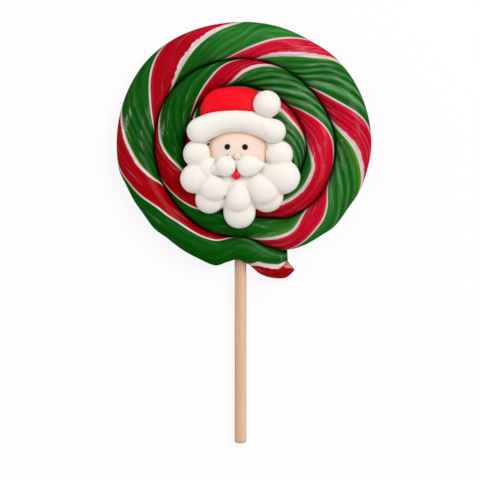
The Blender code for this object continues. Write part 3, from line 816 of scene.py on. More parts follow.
def strand_relief(turns, girth):
    """Relief of the pulled strands from where a point lies across its own band, the painted shade there as
    a light value, and the painted sheen. A band swells between its two lines as a half sine, and carries
    cosine ribs side by side, which lie closer together near the thick line. Their valleys get painted
    shade, and their crests get a painted sheen towards the thin line."""
    lead = girth + smooth_curve(LEADING_LINE, turns)
    trail = girth + smooth_curve(TRAILING_LINE, turns)
    red = np.floor(lead) > np.floor(trail)
    since_lead, since_trail = lead % 1.0, trail % 1.0
    red_share = since_lead / (since_lead + 1 - since_trail)
    green_share = since_trail / (since_trail + 1 - since_lead)
    share = np.where(red, red_share, green_share)
    swell = np.sin(math.pi * share)
    drift = RIB_DRIFT * np.sin(np.radians(turns) * RIB_DRIFT_RATE + RIB_DRIFT_SHIFT * np.floor(lead))
    bend = (1 + RIB_CROWDING) * share - RIB_CROWDING * share**2
    rib = 0.5 - 0.5 * np.cos(2 * math.pi * (RIB_COUNT * bend + drift))
    depth = smooth_curve(RIDGE_DEPTH, turns) * np.where(red, RED_RIB_SHARE, 1.0) * np.sqrt(swell)
    puff = np.where(red, RED_SWELL, GREEN_SWELL)
    crest = CREST_HEIGHT * bell(girth, smooth_curve(CREST_PLACE, turns), CREST_WIDTH)
    crest = crest * (1 - ease(turns, *CREST_ENDS))
    deep = np.minimum(depth / RIB_DEEP, 1.0)
    light = 1.0 - RIB_SHADE * deep * (1 - rib) ** 2
    painted_sheen = deep * rib**2 * ease(share, *SHEEN_STARTS) * (1 - ease(share, *SHEEN_ENDS))
    painted_sheen = np.minimum(painted_sheen + CREST_PAINTED_SHEEN * crest, 1.0)
    return puff * swell - depth * (1 - rib) + crest, light, painted_sheen


class Rope:
    """The coil's measures at each of its rows. A row has one turn angle at its outer edge. Its inner edge
    is the next pass's outer edge, a full turn of rows further on, or the core after the last full turn."""

    def __init__(self, crown):
        """Works out every row from the height of the rope's crown."""
        last = round((ROPE_EDGE[-1][0] - ROPE_START) / FULL_TURN * ROWS_PER_TURN)
        self.even = ROPE_START + FULL_TURN / ROWS_PER_TURN * np.arange(last + 1)
        self.from_end = np.clip((self.even - ROPE_START) / END_SPAN, 0.0, 1.0)
        crowded = ROPE_START + END_SPAN * self.from_end**END_CROWDING
        self.turns = np.where(self.from_end < 1, crowded, self.even)
        self.crown = crown
        self.last = last
        self.outer = smooth_curve(ROPE_EDGE, self.turns)
        joined = ease(self.even, ROPE_START + FULL_TURN, ROPE_START + FULL_TURN + JOIN_LENGTH)
        self.front_edge = RIM_HEIGHT + (GROOVE_FLOOR - RIM_HEIGHT) * joined
        self.back_edge = RIM_HEIGHT + (BACK_GROOVE - RIM_HEIGHT) * joined
        self.corner = RIM_CORNER + (BACK_CORNER - RIM_CORNER) * joined
        # Painted shade along the outer edge: slight at the free rim, deep once the edge lies in a groove.
        self.edge_light = RIM_SHADE + (GROOVE_SHADE - RIM_SHADE) * joined
        inside = np.arange(last) + ROWS_PER_TURN
        self.next_row = np.minimum(inside, last)
        self.at_core = inside > last
        inner = np.where(self.at_core, CORE_RADIUS, self.outer[self.next_row])
        self.width = self.outer[:-1] - inner
        merged = ease(self.even[:-1], *CORE_MERGE) * np.minimum(1.0, self.width / CORE_RADIUS)
        core_height = GROOVE_FLOOR + (crown - GROOVE_FLOOR) * merged
        self.inner_front = np.where(self.at_core, core_height, self.front_edge[self.next_row])
        self.inner_back = np.where(self.at_core, 0.0, self.back_edge[self.next_row])
        self.inner_corner = np.where(self.at_core, BACK_CORNER, self.corner[self.next_row])
        middle = self.outer[:-1] - self.width / 2
        self.length = np.concatenate([[0.0], np.cumsum(np.radians(np.diff(self.turns)) * middle)])

    def column(self, values):
        """A value of each row that has cells, as a column beside a grid."""
        return values[: self.last, None]

    def place(self, rows, radius, height, share=0.0):
        """Points at a radius and height in their rows, share of the way inwards. Near the broken end they
        are moved along the rope for its notch, its round shoulder and its leaning face, each a bell curve
        of the radius."""
        turns = self.turns[rows] + (self.even[rows] - self.turns[rows]) * share**3
        notch = NOTCH_DEPTH * bell(radius, NOTCH_RADIUS, NOTCH_WIDTH)
        facet = FACET_DEPTH * bell(radius, FACET_RADIUS, FACET_WIDTH)
        shoulder = SHOULDER_DEPTH * bell(radius, SHOULDER_RADIUS, SHOULDER_WIDTH)
        moved = (notch + shoulder + facet * height / self.crown) * (1 - self.from_end[rows])
        angle = np.radians(turns) + moved / radius
        flat = -radius * np.sin(angle), -radius * np.cos(angle)
        return np.stack(np.broadcast_arrays(*flat, height), axis=-1)

    def values(self, girth):
        """The corner values of a strip: the two line positions, length along the rope, and girth."""
        girth = np.broadcast_to(girth, (self.last, girth.shape[-1]))
        lead = girth + self.column(smooth_curve(LEADING_LINE, self.turns))
        trail = girth + self.column(smooth_curve(TRAILING_LINE, self.turns))
        return np.stack([lead, trail, self.column(self.length) + 0.0 * girth, girth], axis=-1)

    def marks(self, rows, light, painted_sheen=0.0):
        """The candy's point values: what changes along it, its light, which is painted shade, its crests'
        painted sheen, and the cut.
        """
        along = [smooth_curve(table, self.turns[rows]) for table in MARKS_ALONG.values()]
        return np.stack(np.broadcast_arrays(*along, light, painted_sheen, 0.0), axis=-1)


def rope_front(rope):
    """Inward distances, heights, painted shade as light, and painted sheen of the front's inner columns.
    Across the rope the height is half a superellipse from edge to edge. The green strand's end rounds off
    as a quarter circle."""
    share = np.arange(1, FRONT_CELLS) / FRONT_CELLS
    across = (1 - np.cos(math.pi * share[None, :])) / 2
    inwards = across * rope.column(rope.width)
    rise = (1 - np.abs(2 * across - 1) ** PROFILE_POWER) ** (1 / PROFILE_POWER)
    climb = ease(rope.column(rope.turns), ROPE_START, JOIN_LENGTH)
    top = TAIL_CROWN + (rope.crown - TAIL_CROWN) * climb
    edge = np.where(across < 0.5, rope.column(rope.front_edge), rope.column(rope.inner_front))
    radius = rope.column(rope.outer) - inwards
    from_end = np.radians(rope.column(rope.turns) - ROPE_START) * radius
    nose = np.sqrt(1 - (1 - np.clip(from_end / NOSE_LENGTH, 0.0, 1.0)) ** 2)
    nose = nose + (1 - nose) * ease(radius, *NOSE_EDGE)
    relief, light, painted_sheen = strand_relief(rope.column(rope.turns), FRONT_SHARE * share[None, :])
    fade = np.sqrt(4 * across * (1 - across))
    height = edge + (top - edge) * rise * nose + relief * fade * nose
    # Painted shade: towards the edges the light value falls to the rim's or the groove's shade, and the
    # painted sheen fades there too.
    groove = ease(across * (1 - across) * 4, 0.0, GROOVE_SHADE_REACH)
    dark = np.where(across < 0.5, rope.column(rope.edge_light), GROOVE_SHADE)
    return inwards, np.minimum(height, rope.crown), light * (dark + (1 - dark) * groove), painted_sheen * groove


def rope_back(rope):
    """Inward distances and heights of the back's inner columns: flat, a quarter ellipse at each edge."""
    steps = (np.arange(1, CORNER_CELLS + 1) / CORNER_CELLS)[None, :] ** CORNER_CROWDING
    width = rope.column(rope.width)
    outer_corner = np.minimum(rope.column(rope.corner), CORNER_MOST * width)
    inner_corner = np.minimum(rope.column(rope.inner_corner), CORNER_MOST * width)
    drop = 1 - np.sqrt(1 - (1 - steps) ** 2)
    inner_part = drop * rope.column(rope.inner_back)
    height = np.concatenate([drop * rope.column(rope.back_edge), inner_part[:, ::-1]], axis=1)
    inner_steps = width - steps * inner_corner
    return np.concatenate([steps * outer_corner, inner_steps[:, ::-1]], axis=1), height


def add_strip(skin, rope, edge, core, columns, girth, flip, light=1.0, painted_sheen=0.0):
    """Adds one side of the coil: its columns between the shared outer and inner edges, and a fan of
    triangles where the rope runs out at the core. Returns its point numbers and corner values."""
    inwards, height = columns
    rows = np.arange(rope.last)[:, None]
    radius = rope.column(rope.outer) - inwards
    points = rope.place(rows, radius, height, inwards / rope.column(rope.width))
    between = skin.add_points(points, rope.marks(rows, light, painted_sheen))
    inner = edge[rope.next_row]
    inner[rope.at_core] = core
    numbers = np.concatenate([edge[:-1, None], between, inner[:, None]], axis=1)
    values = rope.values(girth)
    skin.add_grid(numbers, values, flip, halves=not flip)
    ends = values[-1]
    triangles = np.stack([numbers[-1, :-1], numbers[-1, 1:], np.full(len(ends) - 1, edge[-1])], axis=-1)
    corners = np.stack([ends[:-1], ends[1:], ends[1:]], axis=-2)
    skin.add_faces(triangles[:, :: -1 if flip else 1], corners[:, :: -1 if flip else 1])
    return numbers, values


def rope_surface(crown):
    """The coil as one closed skin: front, back, the core's two discs and the broken end."""
    rope = Rope(crown)
    skin = Skin((*MARKS_ALONG, "light", "painted_sheen", "cut"))
    every = np.arange(rope.last + 1)
    front_edge = skin.add_points(
        rope.place(every, rope.outer, rope.front_edge), rope.marks(every, rope.edge_light)
    )
    back_edge = skin.add_points(rope.place(every, rope.outer, rope.back_edge), rope.marks(every, 1.0))
    back_edge = np.where(every <= ROWS_PER_TURN, front_edge, back_edge)
    core_rows = np.flatnonzero(rope.at_core)
    core_front = skin.add_points(
        rope.place(core_rows, CORE_RADIUS, rope.inner_front[core_rows]), rope.marks(core_rows, 1.0)
    )
    core_back = skin.add_points(rope.place(core_rows, CORE_RADIUS, 0.0), rope.marks(core_rows, 1.0))

    inwards, height, light, painted_sheen = rope_front(rope)
    girth = FRONT_SHARE * np.arange(FRONT_CELLS + 1)[None, :] / FRONT_CELLS
    front, front_values = add_strip(
        skin, rope, front_edge, core_front, (inwards, height), girth, False, light, painted_sheen
    )
    inwards, height = rope_back(rope)
    ends = np.zeros((rope.last, 1))
    girth = np.concatenate([ends, inwards / rope.column(rope.width), ends + 1.0], axis=1)
    girth = 1.0 - (1.0 - FRONT_SHARE) * girth
    back, back_values = add_strip(skin, rope, back_edge, core_back, (inwards, height), girth, True)

    last_turn = slice(rope.last - ROWS_PER_TURN, rope.last)
    close_loop(skin, front[last_turn, -1], front_values[last_turn, -1], (0.0, 0.0, crown), True)
    close_loop(skin, back[last_turn, -1], back_values[last_turn, -1], (0.0, 0.0, 0.0), False)
    cut = np.concatenate([front[0], back[0, -2:0:-1]])
    cut_values = np.concatenate([front_values[0], back_values[0, -2:0:-1]])
    middle = skin.points[cut].mean(axis=0)
    close_loop(skin, cut, cut_values, middle, True, cut=True)
    return skin


def close_loop(skin, loop, values, middle, flip, cut=False):
    """Closes a loop with rings that shrink to a middle point. They rise to its height in a round dome, or
    straight on the cut face, where the points outside the nose are marked as cut."""
    points = skin.points[loop]
    middle = np.array(middle)
    numbers, all_values = [loop], [values]
    for share in RING_SHARES:
        ring = middle + (points - middle) * share
        rise = 1 - share if cut else math.sqrt(1 - share**2)
        ring[:, 2] = points[:, 2] + (middle[2] - points[:, 2]) * rise
        marks = skin.marks[loop].copy()
        marks[:, -1] = cut * ease(np.hypot(*ring[:, :2].T), *NOSE_EDGE)
        numbers.append(skin.add_points(ring, marks))
        all_values.append(values)
    grid, grid_values = np.array(numbers), np.array(all_values)
    grid = np.concatenate([grid, grid[:, :1]], axis=1)
    grid_values = np.concatenate([grid_values, grid_values[:, :1]], axis=1)
    skin.add_grid(grid, grid_values, not flip)
    centre = skin.add_points(middle[None, :], marks.mean(axis=0, keepdims=True))[0]
    skin.add_fan(numbers[-1], centre, values, values.mean(axis=0), flip)


def unit_ball(segments, rings):
    """A ball of radius 1 as rows of latitude, without its poles."""
    latitude = math.pi * (np.arange(1, rings)[:, None] / rings - 0.5)
    turn = 2 * math.pi * np.arange(segments) / segments
    flat = np.cos(latitude) * np.cos(turn), np.cos(latitude) * np.sin(turn)
    return np.stack(np.broadcast_arrays(*flat, np.sin(latitude)), axis=-1)


def add_lump(skin, points_of, segments=BALL_SEGMENTS, rings=BALL_RINGS):
    """Adds a closed ball-like shape. points_of turns points of a unit ball into millimetres."""
    rows = unit_ball(segments, rings)
    numbers = skin.add_points(points_of(rows.reshape(-1, 3)).reshape(rows.shape))
    blank = np.zeros((rings - 1, segments + 1, 2))
    closed = np.concatenate([numbers, numbers[:, :1]], axis=1)
    skin.add_grid(closed, blank)
    for row, pole, flip in ((numbers[0], -1.0, True), (numbers[-1], 1.0, False)):
        tip = skin.add_points(points_of(np.array([[0.0, 0.0, pole]])))[0]
        skin.add_fan(row, tip, blank[0, :-1], blank[0, 0], flip)


def superellipse(a, b, power):
    """The level of a flat point: 1 on a superellipse of that power, and 0 in its middle."""
    return (np.abs(a) ** power + np.abs(b) ** power) ** (1 / power)


def drop_taper(lump, a, least=0.0):
    """How slender a drop is at a share a of the way to its tip: 1 less the square of a, to a power."""
    return np.maximum(1 - np.minimum(a * a, 1 - least), least) ** lump.taper


def lump_points(lump, tucked=False):
    """Turns points of a unit ball into a lump of icing, flattened where it lies on the candy. One that is
    tucked ends under the middle of the brim."""

    def points_of(unit):
        a, b, c = unit.T
        if lump.squareness != 2.0:
            square = superellipse(a, b, lump.squareness)
            factor = np.where(square > 0, np.hypot(a, b) / np.maximum(square, TINY), 1.0)
            a, b = a * factor, b * factor
        drop = (a > 0) & (lump.tip > 0)
        taper = np.where(drop, drop_taper(lump, a), 1.0)
        along = a * np.where(drop, lump.tip, lump.radius * lump.stretch)
        aside = b * taper * lump.radius
        angle = math.radians(lump.toward)
        x = lump.x + along * math.cos(angle) - aside * math.sin(angle)
        y = lump.y + along * math.sin(angle) + aside * math.cos(angle)
        z = HEAD_BASE + lump.z + c * taper**TIP_RISE * lump.height
        points = np.stack([x, y, z], axis=-1)
        length, depth = LUMP_WAVES
        points[:, :2] += waves(points, length, depth * lump.radius)[:, None] * unit[:, :2]
        points[:, 2] = np.maximum(points[:, 2], HEAD_FLOOR)
        if tucked:
            arch = brim_frame(np.linspace(0, 1, ARCH_STEPS))[0]
            points[:, 1] = np.maximum(points[:, 1], np.interp(points[:, 0], arch[:, 0], arch[:, 1]))
        return points

    return points_of


def lump_gap(points, lump):
    """How far points are outside a lump, roughly: its level less 1, times its radius."""
    angle = math.radians(lump.toward)
    x, y = points[:, 0] - lump.x, points[:, 1] - lump.y
    along = x * math.cos(angle) + y * math.sin(angle)
    aside = y * math.cos(angle) - x * math.sin(angle)
    drop = (along > 0) & (lump.tip > 0)
    a = along / np.where(drop, lump.tip, lump.radius * lump.stretch)
    taper = np.where(drop, drop_taper(lump, a, TAPER_LEAST), 1.0)
    flat = superellipse(a, aside / (lump.radius * taper), lump.squareness)
    up = (points[:, 2] - HEAD_BASE - lump.z) / (lump.height * taper**TIP_RISE)
    return (np.hypot(flat, up) - 1) * min(lump.radius, lump.height)


def brim_frame(s):
    """The brim's arch at shares s of its length: its points, directions and radii. The arch is a parabola
    through its three named points, and the roll is thicker towards its left end."""
    left, top, right = np.array(BRIM_LEFT), np.array(BRIM_TOP), np.array(BRIM_RIGHT)
    middle = 2 * top - (left + right) / 2
    s = np.asarray(s)[:, None]
    points = (1 - s) ** 2 * left + 2 * s * (1 - s) * middle + s**2 * right
    way = 2 * (1 - s) * (middle - left) + 2 * s * (right - middle)
    way /= np.linalg.norm(way, axis=1, keepdims=True)
    return points, way, smooth_curve(BRIM_RADIUS, s)


def brim_points(unit):
    """Wraps points of a unit ball along the arch: its height goes along the roll, round at both ends."""
    x = unit[:, 2]
    points, way, radius = brim_frame((np.clip(x / BRIM_STRAIGHT, -1, 1) + 1) / 2)
    past = np.maximum(np.abs(x) - BRIM_STRAIGHT, 0.0) / (1 - BRIM_STRAIGHT) * np.sign(x)
    around = np.hypot(unit[:, 0], unit[:, 1])
    size = np.where(around < POLE, 0.0, np.sqrt(np.maximum(1 - past**2, 0.0)))
    side, up = unit[:, :2].T / np.maximum(around, TINY)
    aside = np.stack([-way[:, 1], way[:, 0]], axis=-1)
    flat = points + way * (past[:, None] * radius) + aside * (side * size)[:, None] * radius
    made = np.column_stack([flat, HEAD_BASE + BRIM_Z + BRIM_HEIGHT * up * size])
    made[:, :2] += waves(made, *BRIM_WAVES)[:, None] * aside * side[:, None]
    made[:, 2] = np.maximum(made[:, 2], HEAD_FLOOR)
    return made


def brim_gap(points):
    """How far points are outside the brim's roll."""
    arch, _, radius = brim_frame(np.linspace(0, 1, ARCH_STEPS))
    flat = points[:, None, :2] - arch[None]
    up = (points[:, 2:] - HEAD_BASE - BRIM_Z) / BRIM_HEIGHT
    level = np.sqrt((flat**2).sum(axis=2) / radius.T**2 + up**2)
    return (level.min(axis=1) - 1) * BRIM_HEIGHT


def mark_crease_shade(data, lumps=ALL_LUMPS):
    """Writes the crease shade attribute, which is painted shade: 1 where a point touches a second lump or
    the brim, and less with its distance."""
    points = np.empty(len(data.vertices) * 3)
    data.vertices.foreach_get("co", points)
    points = points.reshape(-1, 3) / MM
    gaps = np.stack([*(lump_gap(points, lump) for lump in lumps), brim_gap(points)], axis=1)
    apart = np.maximum(np.partition(gaps, 1, axis=1)[:, 1], 0.0)
    crease_shade = (1 - CREASE_SHADE_HALO) * bell(apart, 0.0, CREASE_SHADE_REACH) + CREASE_SHADE_HALO * np.exp(-apart / CREASE_SHADE_HALO_REACH)
    data.attributes.new("crease_shade", "FLOAT", "POINT").data.foreach_set("value", crease_shade)


def piped_piece(name, shapes, smoothing, made_of, node):
    """A piece of white icing from overlapping lumps: joined, remeshed in small cells, and smoothed."""
    skin = Skin()
    for points_of in shapes:
        add_lump(skin, points_of)
    rough = bpy.data.objects.new(name, skin.mesh(name))
    bpy.context.scene.collection.objects.link(rough)
    fuse = rough.modifiers.new("Fuse", "REMESH")
    fuse.mode = "VOXEL"
    fuse.voxel_size = ICING_VOXEL * MM
    soften = rough.modifiers.new("Soften", "SMOOTH")
    soften.factor = SMOOTHING_FACTOR
    soften.iterations = smoothing
    bpy.context.view_layer.update()
    fused = rough.evaluated_get(bpy.context.evaluated_depsgraph_get())
    data = bpy.data.meshes.new_from_object(fused)
    bpy.data.objects.remove(rough)
    data.name = name
    data.shade_smooth()
    mark_crease_shade(data)
    finish_piece(name, data, made_of, node)


def single_lump(name, lump, made_of, node=None, tucked=False, near=ALL_LUMPS):
    """A piece that is one lump of icing, with its painted crease shade marked."""
    skin = Skin()
    add_lump(skin, lump_points(lump, tucked))
    data = skin.mesh(name)
    mark_crease_shade(data, near)
    finish_piece(name, data, made_of, node)


def stick_points(rounding):
    """Turns points of a unit ball into the stick: each latitude runs round it at its own place along it,
    the middle ones along its side, and the outer ones over its rounded ends."""
    low, high = STICK_BOX
    middle = (low + high) / 2
    radius, half, _ = (high - low) / 2

    def points_of(unit):
        x = unit[:, 2]
        past = np.abs(x) - ROD_SIDE
        bend = np.clip(past / ROD_EDGE, 0, 1) * math.pi / 2
        inwards = np.clip((past - ROD_EDGE) / ROD_FACE, 0, 1)
        along = (half - rounding) * np.clip(np.abs(x) / ROD_SIDE, 0, 1) + rounding * np.sin(bend)
        size = (radius - rounding + rounding * np.cos(bend)) * (1 - inwards)
        size *= 1 + waves(np.outer(x * half, (1.0, 0.0, 0.0)), *ROD_WAVES)
        side, up = size * unit[:, :2].T / np.maximum(np.hypot(unit[:, 0], unit[:, 1]), TINY)
        return middle + np.stack([side, np.sign(x) * along, -up], axis=-1)

    return points_of


def add_floor():
    """A large sheet of white light just under the lollipop, on which its shadow is faint. It is clear from
    below, so that the lollipop's back can be looked at."""
    data = bpy.data.meshes.new("floor")
    sides = ((-1, -1), (1, -1), (1, 1), (-1, 1))
    corners = [(a * FLOOR_HALF, b * FLOOR_HALF, -FLOOR_GAP) for a, b in sides]
    data.from_pydata(corners, [], [(0, 1, 2, 3)])
    floor = bpy.data.objects.new("floor", data)
    bpy.context.scene.collection.objects.link(floor)
    made, shader, wire = new_material("Light table", Roughness=0.9, Specular_IOR_Level=0.0)
    shader.inputs["Base Color"].default_value = FLOOR_WHITE
    shader.inputs["Emission Color"].default_value = FLOOR_WHITE
    shader.inputs["Emission Strength"].default_value = FLOOR_GLOW
    under = wire.node("ShaderNodeNewGeometry").outputs["Backfacing"]
    wire.plug(wire.less(1.0, under), shader.inputs["Alpha"])
    data.materials.append(made)
    floor.visible_glossy = False


def add_area_light(name, place, size, energy):
    """A soft rectangular light that faces the middle of the candy."""
    lamp = bpy.data.lights.new(name, "AREA")
    lamp.shape = "RECTANGLE"
    lamp.size, lamp.size_y = size
    lamp.energy = energy
    light = bpy.data.objects.new(name, lamp)
    bpy.context.scene.collection.objects.link(light)
    light.location = place
    light.rotation_euler = (-Vector(place)).to_track_quat("-Z", "Y").to_euler()
    light.visible_camera = False


def add_lights(settings):
    """A broad light at the upper right, and a narrow upright one at the left."""
    add_area_light("key_light", KEY_PLACE, KEY_SIZE, settings.key_power)
    add_area_light("fill_light", FILL_PLACE, FILL_SIZE, settings.fill_power)


def add_camera(scene, settings):
    """A camera that looks straight down, with a long lens."""
    lens = bpy.data.cameras.new("camera")
    lens.sensor_width = SENSOR
    lens.lens = SENSOR * settings.camera_height / settings.view_width
    camera = bpy.data.objects.new("camera", lens)
    scene.collection.objects.link(camera)
    x, y = VIEW_CENTRE
    camera.location = (x * MM, y * MM, settings.camera_height + CAMERA_TARGET_Z * MM)
    scene.camera = camera


def add_world(scene):
    """White to the camera, an even grey as light, and in reflections a soft glow from the upper right."""
    world = bpy.data.worlds.new("studio")
    world.use_nodes = True
    scene.world = world
    wire = Wiring(world.node_tree)
    background = world.node_tree.nodes["Background"]
    rays = wire.node("ShaderNodeLightPath")
    way = wire.node("ShaderNodeTexCoord").outputs["Generated"]
    side = wire.node("ShaderNodeVectorMath", operation="DOT_PRODUCT")
    wire.plug(way, side.inputs[0])
    wire.plug(GLOW_FROM, side.inputs[1])
    glow = wire.mix(wire.step(side.outputs["Value"], *GLOW_REACH), GLOW_DIM, GLOW_BRIGHT)
    shade = wire.mix(rays.outputs["Is Glossy Ray"], AMBIENT, glow)
    wire.plug(wire.mix(rays.outputs["Is Camera Ray"], shade, WHITE), background.inputs["Color"])


def colour_setting(name, description, *red_green_blue):
    """A colour that a user may change."""
    return FloatVectorProperty(
        name=name, description=description, size=4, subtype="COLOR", default=(*red_green_blue, 1.0)
    )


def number_setting(name, description, default, unit="LENGTH"):
    """A number that a user may change, and in most cases a length."""
    return FloatProperty(name=name, description=description, default=default, unit=unit)


class CandySettings(bpy.types.PropertyGroup):
    """The rope of boiled sugar."""

    crown: number_setting("Rope height", "Height of the coiled rope", 11.4 * MM)
    thin_line: number_setting("Thin line", "Half width of the thin white line, in twists", 0.013, "NONE")
    green_deep: colour_setting("Deep green", "Green in the body of the candy", 0.001, 0.074, 0.001)
    # Painted light: the green's colour where light is painted in, and in random clouds.
    green_pale: colour_setting("Pale green", "Green where air makes it milky", 0.024, 0.19, 0.023)
    # Painted sheen: the pale highlight colour painted on the green strands' crests.
    green_sheen: colour_setting("Green sheen", "Crests of the green strands", 0.14, 0.37, 0.14)
    fringe: colour_setting("Fringe", "Yellow green beside the thick line", 0.085, 0.25, 0.02)
    red_deep: colour_setting("Deep red", "Red in the body of the candy", 0.31, 0.0, 0.001)
    # Painted light: the red's colour where light is painted in, and in random clouds.
    red_pale: colour_setting("Pale red", "Red where air makes it milky", 0.68, 0.002, 0.027)
    # Painted sheen: the pale highlight colour painted on the red strands' crests.
    red_sheen: colour_setting("Red sheen", "Crests of the red strands", 0.79, 0.10, 0.18)
    blush: colour_setting("Blush", "Pink beside the white lines", 0.62, 0.03, 0.12)
    white: colour_setting("White", "The white lines", 0.74, 0.65, 0.62)
    white_warm: colour_setting("Warm white", "Streaks in the white lines", 0.60, 0.47, 0.43)
    # Painted shade: the tint multiplied into the candy in its grooves, at its rim and in its rib valleys.
    shade: colour_setting("Depth", "Tint of the candy deep in its grooves", 0.12, 0.12, 0.10)
    cut: colour_setting("Cut end", "The broken end of the rope", 0.55, 0.36, 0.22)


class StickSettings(bpy.types.PropertyGroup):
    """The wooden stick."""

    rounding: number_setting("End rounding", "How far the stick's ends are rounded", 1.1 * MM)
    wood: colour_setting("Wood", "The stick's main colour", 0.70, 0.41, 0.25)
    wood_dark: colour_setting("Grain", "The grain's darker streaks", 0.58, 0.32, 0.17)
    # Used for the paler streaks and for the painted light on the +X side.
    wood_pale: colour_setting("Pale wood", "The paler streaks", 0.80, 0.56, 0.42)
    stain: colour_setting("Stain", "Where syrup has run into the grain", 0.30, 0.13, 0.05)


class HeadSettings(bpy.types.PropertyGroup):
    """The piped sugar head."""

    white: colour_setting("White icing", "Beard, brim and pompom", 0.85, 0.815, 0.76)
    # Painted shade: this colour is painted into the white icing's creases where lumps meet.
    white_crease_shade: colour_setting("White seam", "Creases of the white icing", 0.78, 0.60, 0.42)
    red: colour_setting("Red icing", "The hat", 0.86, 0.0, 0.010)
    # Painted shade: painted into the red icing's creases.
    red_crease_shade: colour_setting("Red seam", "Creases of the red icing", 0.45, 0.001, 0.01)
    skin: colour_setting("Peach icing", "The face", 0.86, 0.70, 0.615)
    # Painted shade: the warm orange painted round the face where it meets the brim and beard.
    skin_crease_shade: colour_setting("Peach seam", "The orange line round the face", 0.80, 0.34, 0.14)
    black: colour_setting("Black icing", "The eyes", 0.006, 0.005, 0.004)


class StageSettings(bpy.types.PropertyGroup):
    """The floor, camera and lights."""

    view_width: number_setting("View width", "Width that the camera sees at the lollipop", 184.8 * MM)
    camera_height: number_setting("Camera height", "Distance from lens to lollipop", 3.0)
    key_power: number_setting("Key light", "Power of the light at the upper right", 41.8, "POWER")
    fill_power: number_setting("Fill light", "Power of the light at the left", 10.0, "POWER")


class LOLLIPOP_OT_rope(bpy.types.Operator):
    """Makes the coiled rope of candy with its ridges and stripes"""

    bl_idname = "lollipop.rope"
    bl_label = "Candy rope"

    def execute(self, context):
        settings = context.scene.lollipop_candy
        skin = rope_surface(settings.crown / MM)
        data = skin.mesh("twisted_candy", ("Twist", "Rope"))
        finish_piece("twisted_candy", data, boiled_sugar(settings), "candy_rope")
        return {"FINISHED"}


class LOLLIPOP_OT_stick(bpy.types.Operator):
    """Makes the wooden stick with its rounded ends"""

    bl_idname = "lollipop.stick"
    bl_label = "Stick"

    def execute(self, context):
        settings = context.scene.lollipop_stick
        skin = Skin()
        add_lump(skin, stick_points(settings.rounding / MM), ROD_SEGMENTS, ROD_RINGS)
        finish_piece("wooden_stick", skin.mesh("wooden_stick"), birch(settings), "stick")
        return {"FINISHED"}


class LOLLIPOP_OT_beard(bpy.types.Operator):
    """Pipes the beard's lobes and the two halves of the moustache"""

    bl_idname = "lollipop.beard"
    bl_label = "Beard and moustache"

    def execute(self, context):
        white = white_icing(context.scene.lollipop_head)
        lobes = map(lump_points, (*BEARD, *BEARD_FILLING))
        piped_piece("piped_beard", lobes, BEARD_SMOOTHING, white, "beard")
        halves = {"left": (MOUSTACHE_LEFT, MOUSTACHE_TAIL), "right": (MOUSTACHE_RIGHT,)}
        for side, lumps in halves.items():
            lobes = map(lump_points, lumps)
            piped_piece(f"moustache_half_{side}", lobes, MOUSTACHE_SMOOTHING, white, f"moustache_{side}")
        return {"FINISHED"}


class LOLLIPOP_OT_hat(bpy.types.Operator):
    """Makes the red hat with its white brim and pompom"""

    bl_idname = "lollipop.hat"
    bl_label = "Hat"

    def execute(self, context):
        settings = context.scene.lollipop_head
        white = white_icing(settings)
        red = icing("Red icing", settings.red, settings.red_crease_shade, RED_CREASE_SHADE_SHARE, Subsurface_Weight=0.15)
        shapes = (brim_points, lump_points(BRIM_BEAD), lump_points(BRIM_FOLD))
        piped_piece("rolled_brim", shapes, BRIM_SMOOTHING, white, "hat_brim")
        single_lump("pompom_ball", POMPOM, white, "hat_pompom")
        single_lump("hat_crown", HAT, red, "hat", tucked=True)
        return {"FINISHED"}


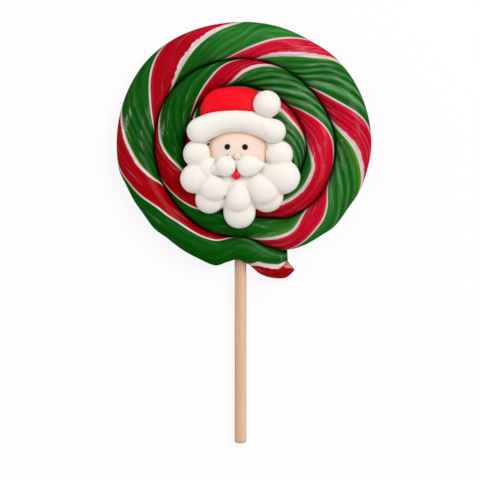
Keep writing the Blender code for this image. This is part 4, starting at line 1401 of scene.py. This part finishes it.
class LOLLIPOP_OT_face(bpy.types.Operator):
    """Makes the face with its nose, mouth and eyes"""

    bl_idname = "lollipop.face"
    bl_label = "Face"

    def execute(self, context):
        settings = context.scene.lollipop_head
        peach, peach_crease_shade = settings.skin, settings.skin_crease_shade
        skin = icing("Peach icing", peach, peach_crease_shade, FACE_CREASE_SHADE_SHARE, Subsurface_Weight=0.5)
        nose = icing("Nose icing", peach, peach_crease_shade, SMALL_CREASE_SHADE_SHARE, Subsurface_Weight=0.5)
        wet = {"Coat_Weight": 0.6, "Coat_Roughness": 0.2}
        red = icing("Mouth icing", settings.red, settings.red_crease_shade, SMALL_CREASE_SHADE_SHARE, **wet)
        black = icing("Black icing", settings.black, settings.black, 0.0)
        single_lump("face_dome", FACE, skin, "face", near=FACE_LUMPS)
        single_lump("nose_ball", NOSE, nose, "nose")
        single_lump("mouth_drop", MOUTH, red, "mouth")
        single_lump("eye_bead_left", EYE_LEFT, black, "eye_left")
        single_lump("eye_bead_right", EYE_RIGHT, black, "eye_right")
        for number, lump in enumerate(SPECKS):
            single_lump(f"speck_{number}", lump, black)
        return {"FINISHED"}


class LOLLIPOP_OT_stage(bpy.types.Operator):
    """Makes the white floor, the soft studio lights and the camera that looks straight down"""

    bl_idname = "lollipop.stage"
    bl_label = "Studio"

    def execute(self, context):
        settings = context.scene.lollipop_stage
        scene = context.scene
        add_floor()
        add_lights(settings)
        add_camera(scene, settings)
        add_world(scene)
        scene.view_settings.view_transform = "Standard"
        return {"FINISHED"}


class LOLLIPOP_PT_panel(bpy.types.Panel):
    """Lists the lollipop's pieces"""

    bl_label = "Swirl lollipop"
    bl_idname = "LOLLIPOP_PT_panel"
    bl_space_type = "VIEW_3D"
    bl_region_type = "UI"
    bl_category = "Lollipop"

    def draw(self, context):
        for operator in OPERATORS:
            self.layout.operator(operator.bl_idname)


OPERATORS = (
    LOLLIPOP_OT_rope,
    LOLLIPOP_OT_stick,
    LOLLIPOP_OT_beard,
    LOLLIPOP_OT_hat,
    LOLLIPOP_OT_face,
    LOLLIPOP_OT_stage,
)
GROUPS = {
    "lollipop_candy": CandySettings,
    "lollipop_stick": StickSettings,
    "lollipop_head": HeadSettings,
    "lollipop_stage": StageSettings,
}


def register():
    """Makes the settings, the operators and the panel known to Blender."""
    for group in (*GROUPS.values(), *OPERATORS, LOLLIPOP_PT_panel):
        bpy.utils.register_class(group)
    for name, group in GROUPS.items():
        setattr(bpy.types.Scene, name, PointerProperty(type=group))


def unregister():
    """Takes them out again."""
    for name in GROUPS:
        delattr(bpy.types.Scene, name)
    for group in (LOLLIPOP_PT_panel, *reversed(OPERATORS), *GROUPS.values()):
        bpy.utils.unregister_class(group)


def main():
    """Makes every piece and the studio."""
    register()
    bpy.ops.lollipop.rope()
    bpy.ops.lollipop.stick()
    bpy.ops.lollipop.beard()
    bpy.ops.lollipop.hat()
    bpy.ops.lollipop.face()
    bpy.ops.lollipop.stage()


if __name__ == "__main__":
    main()
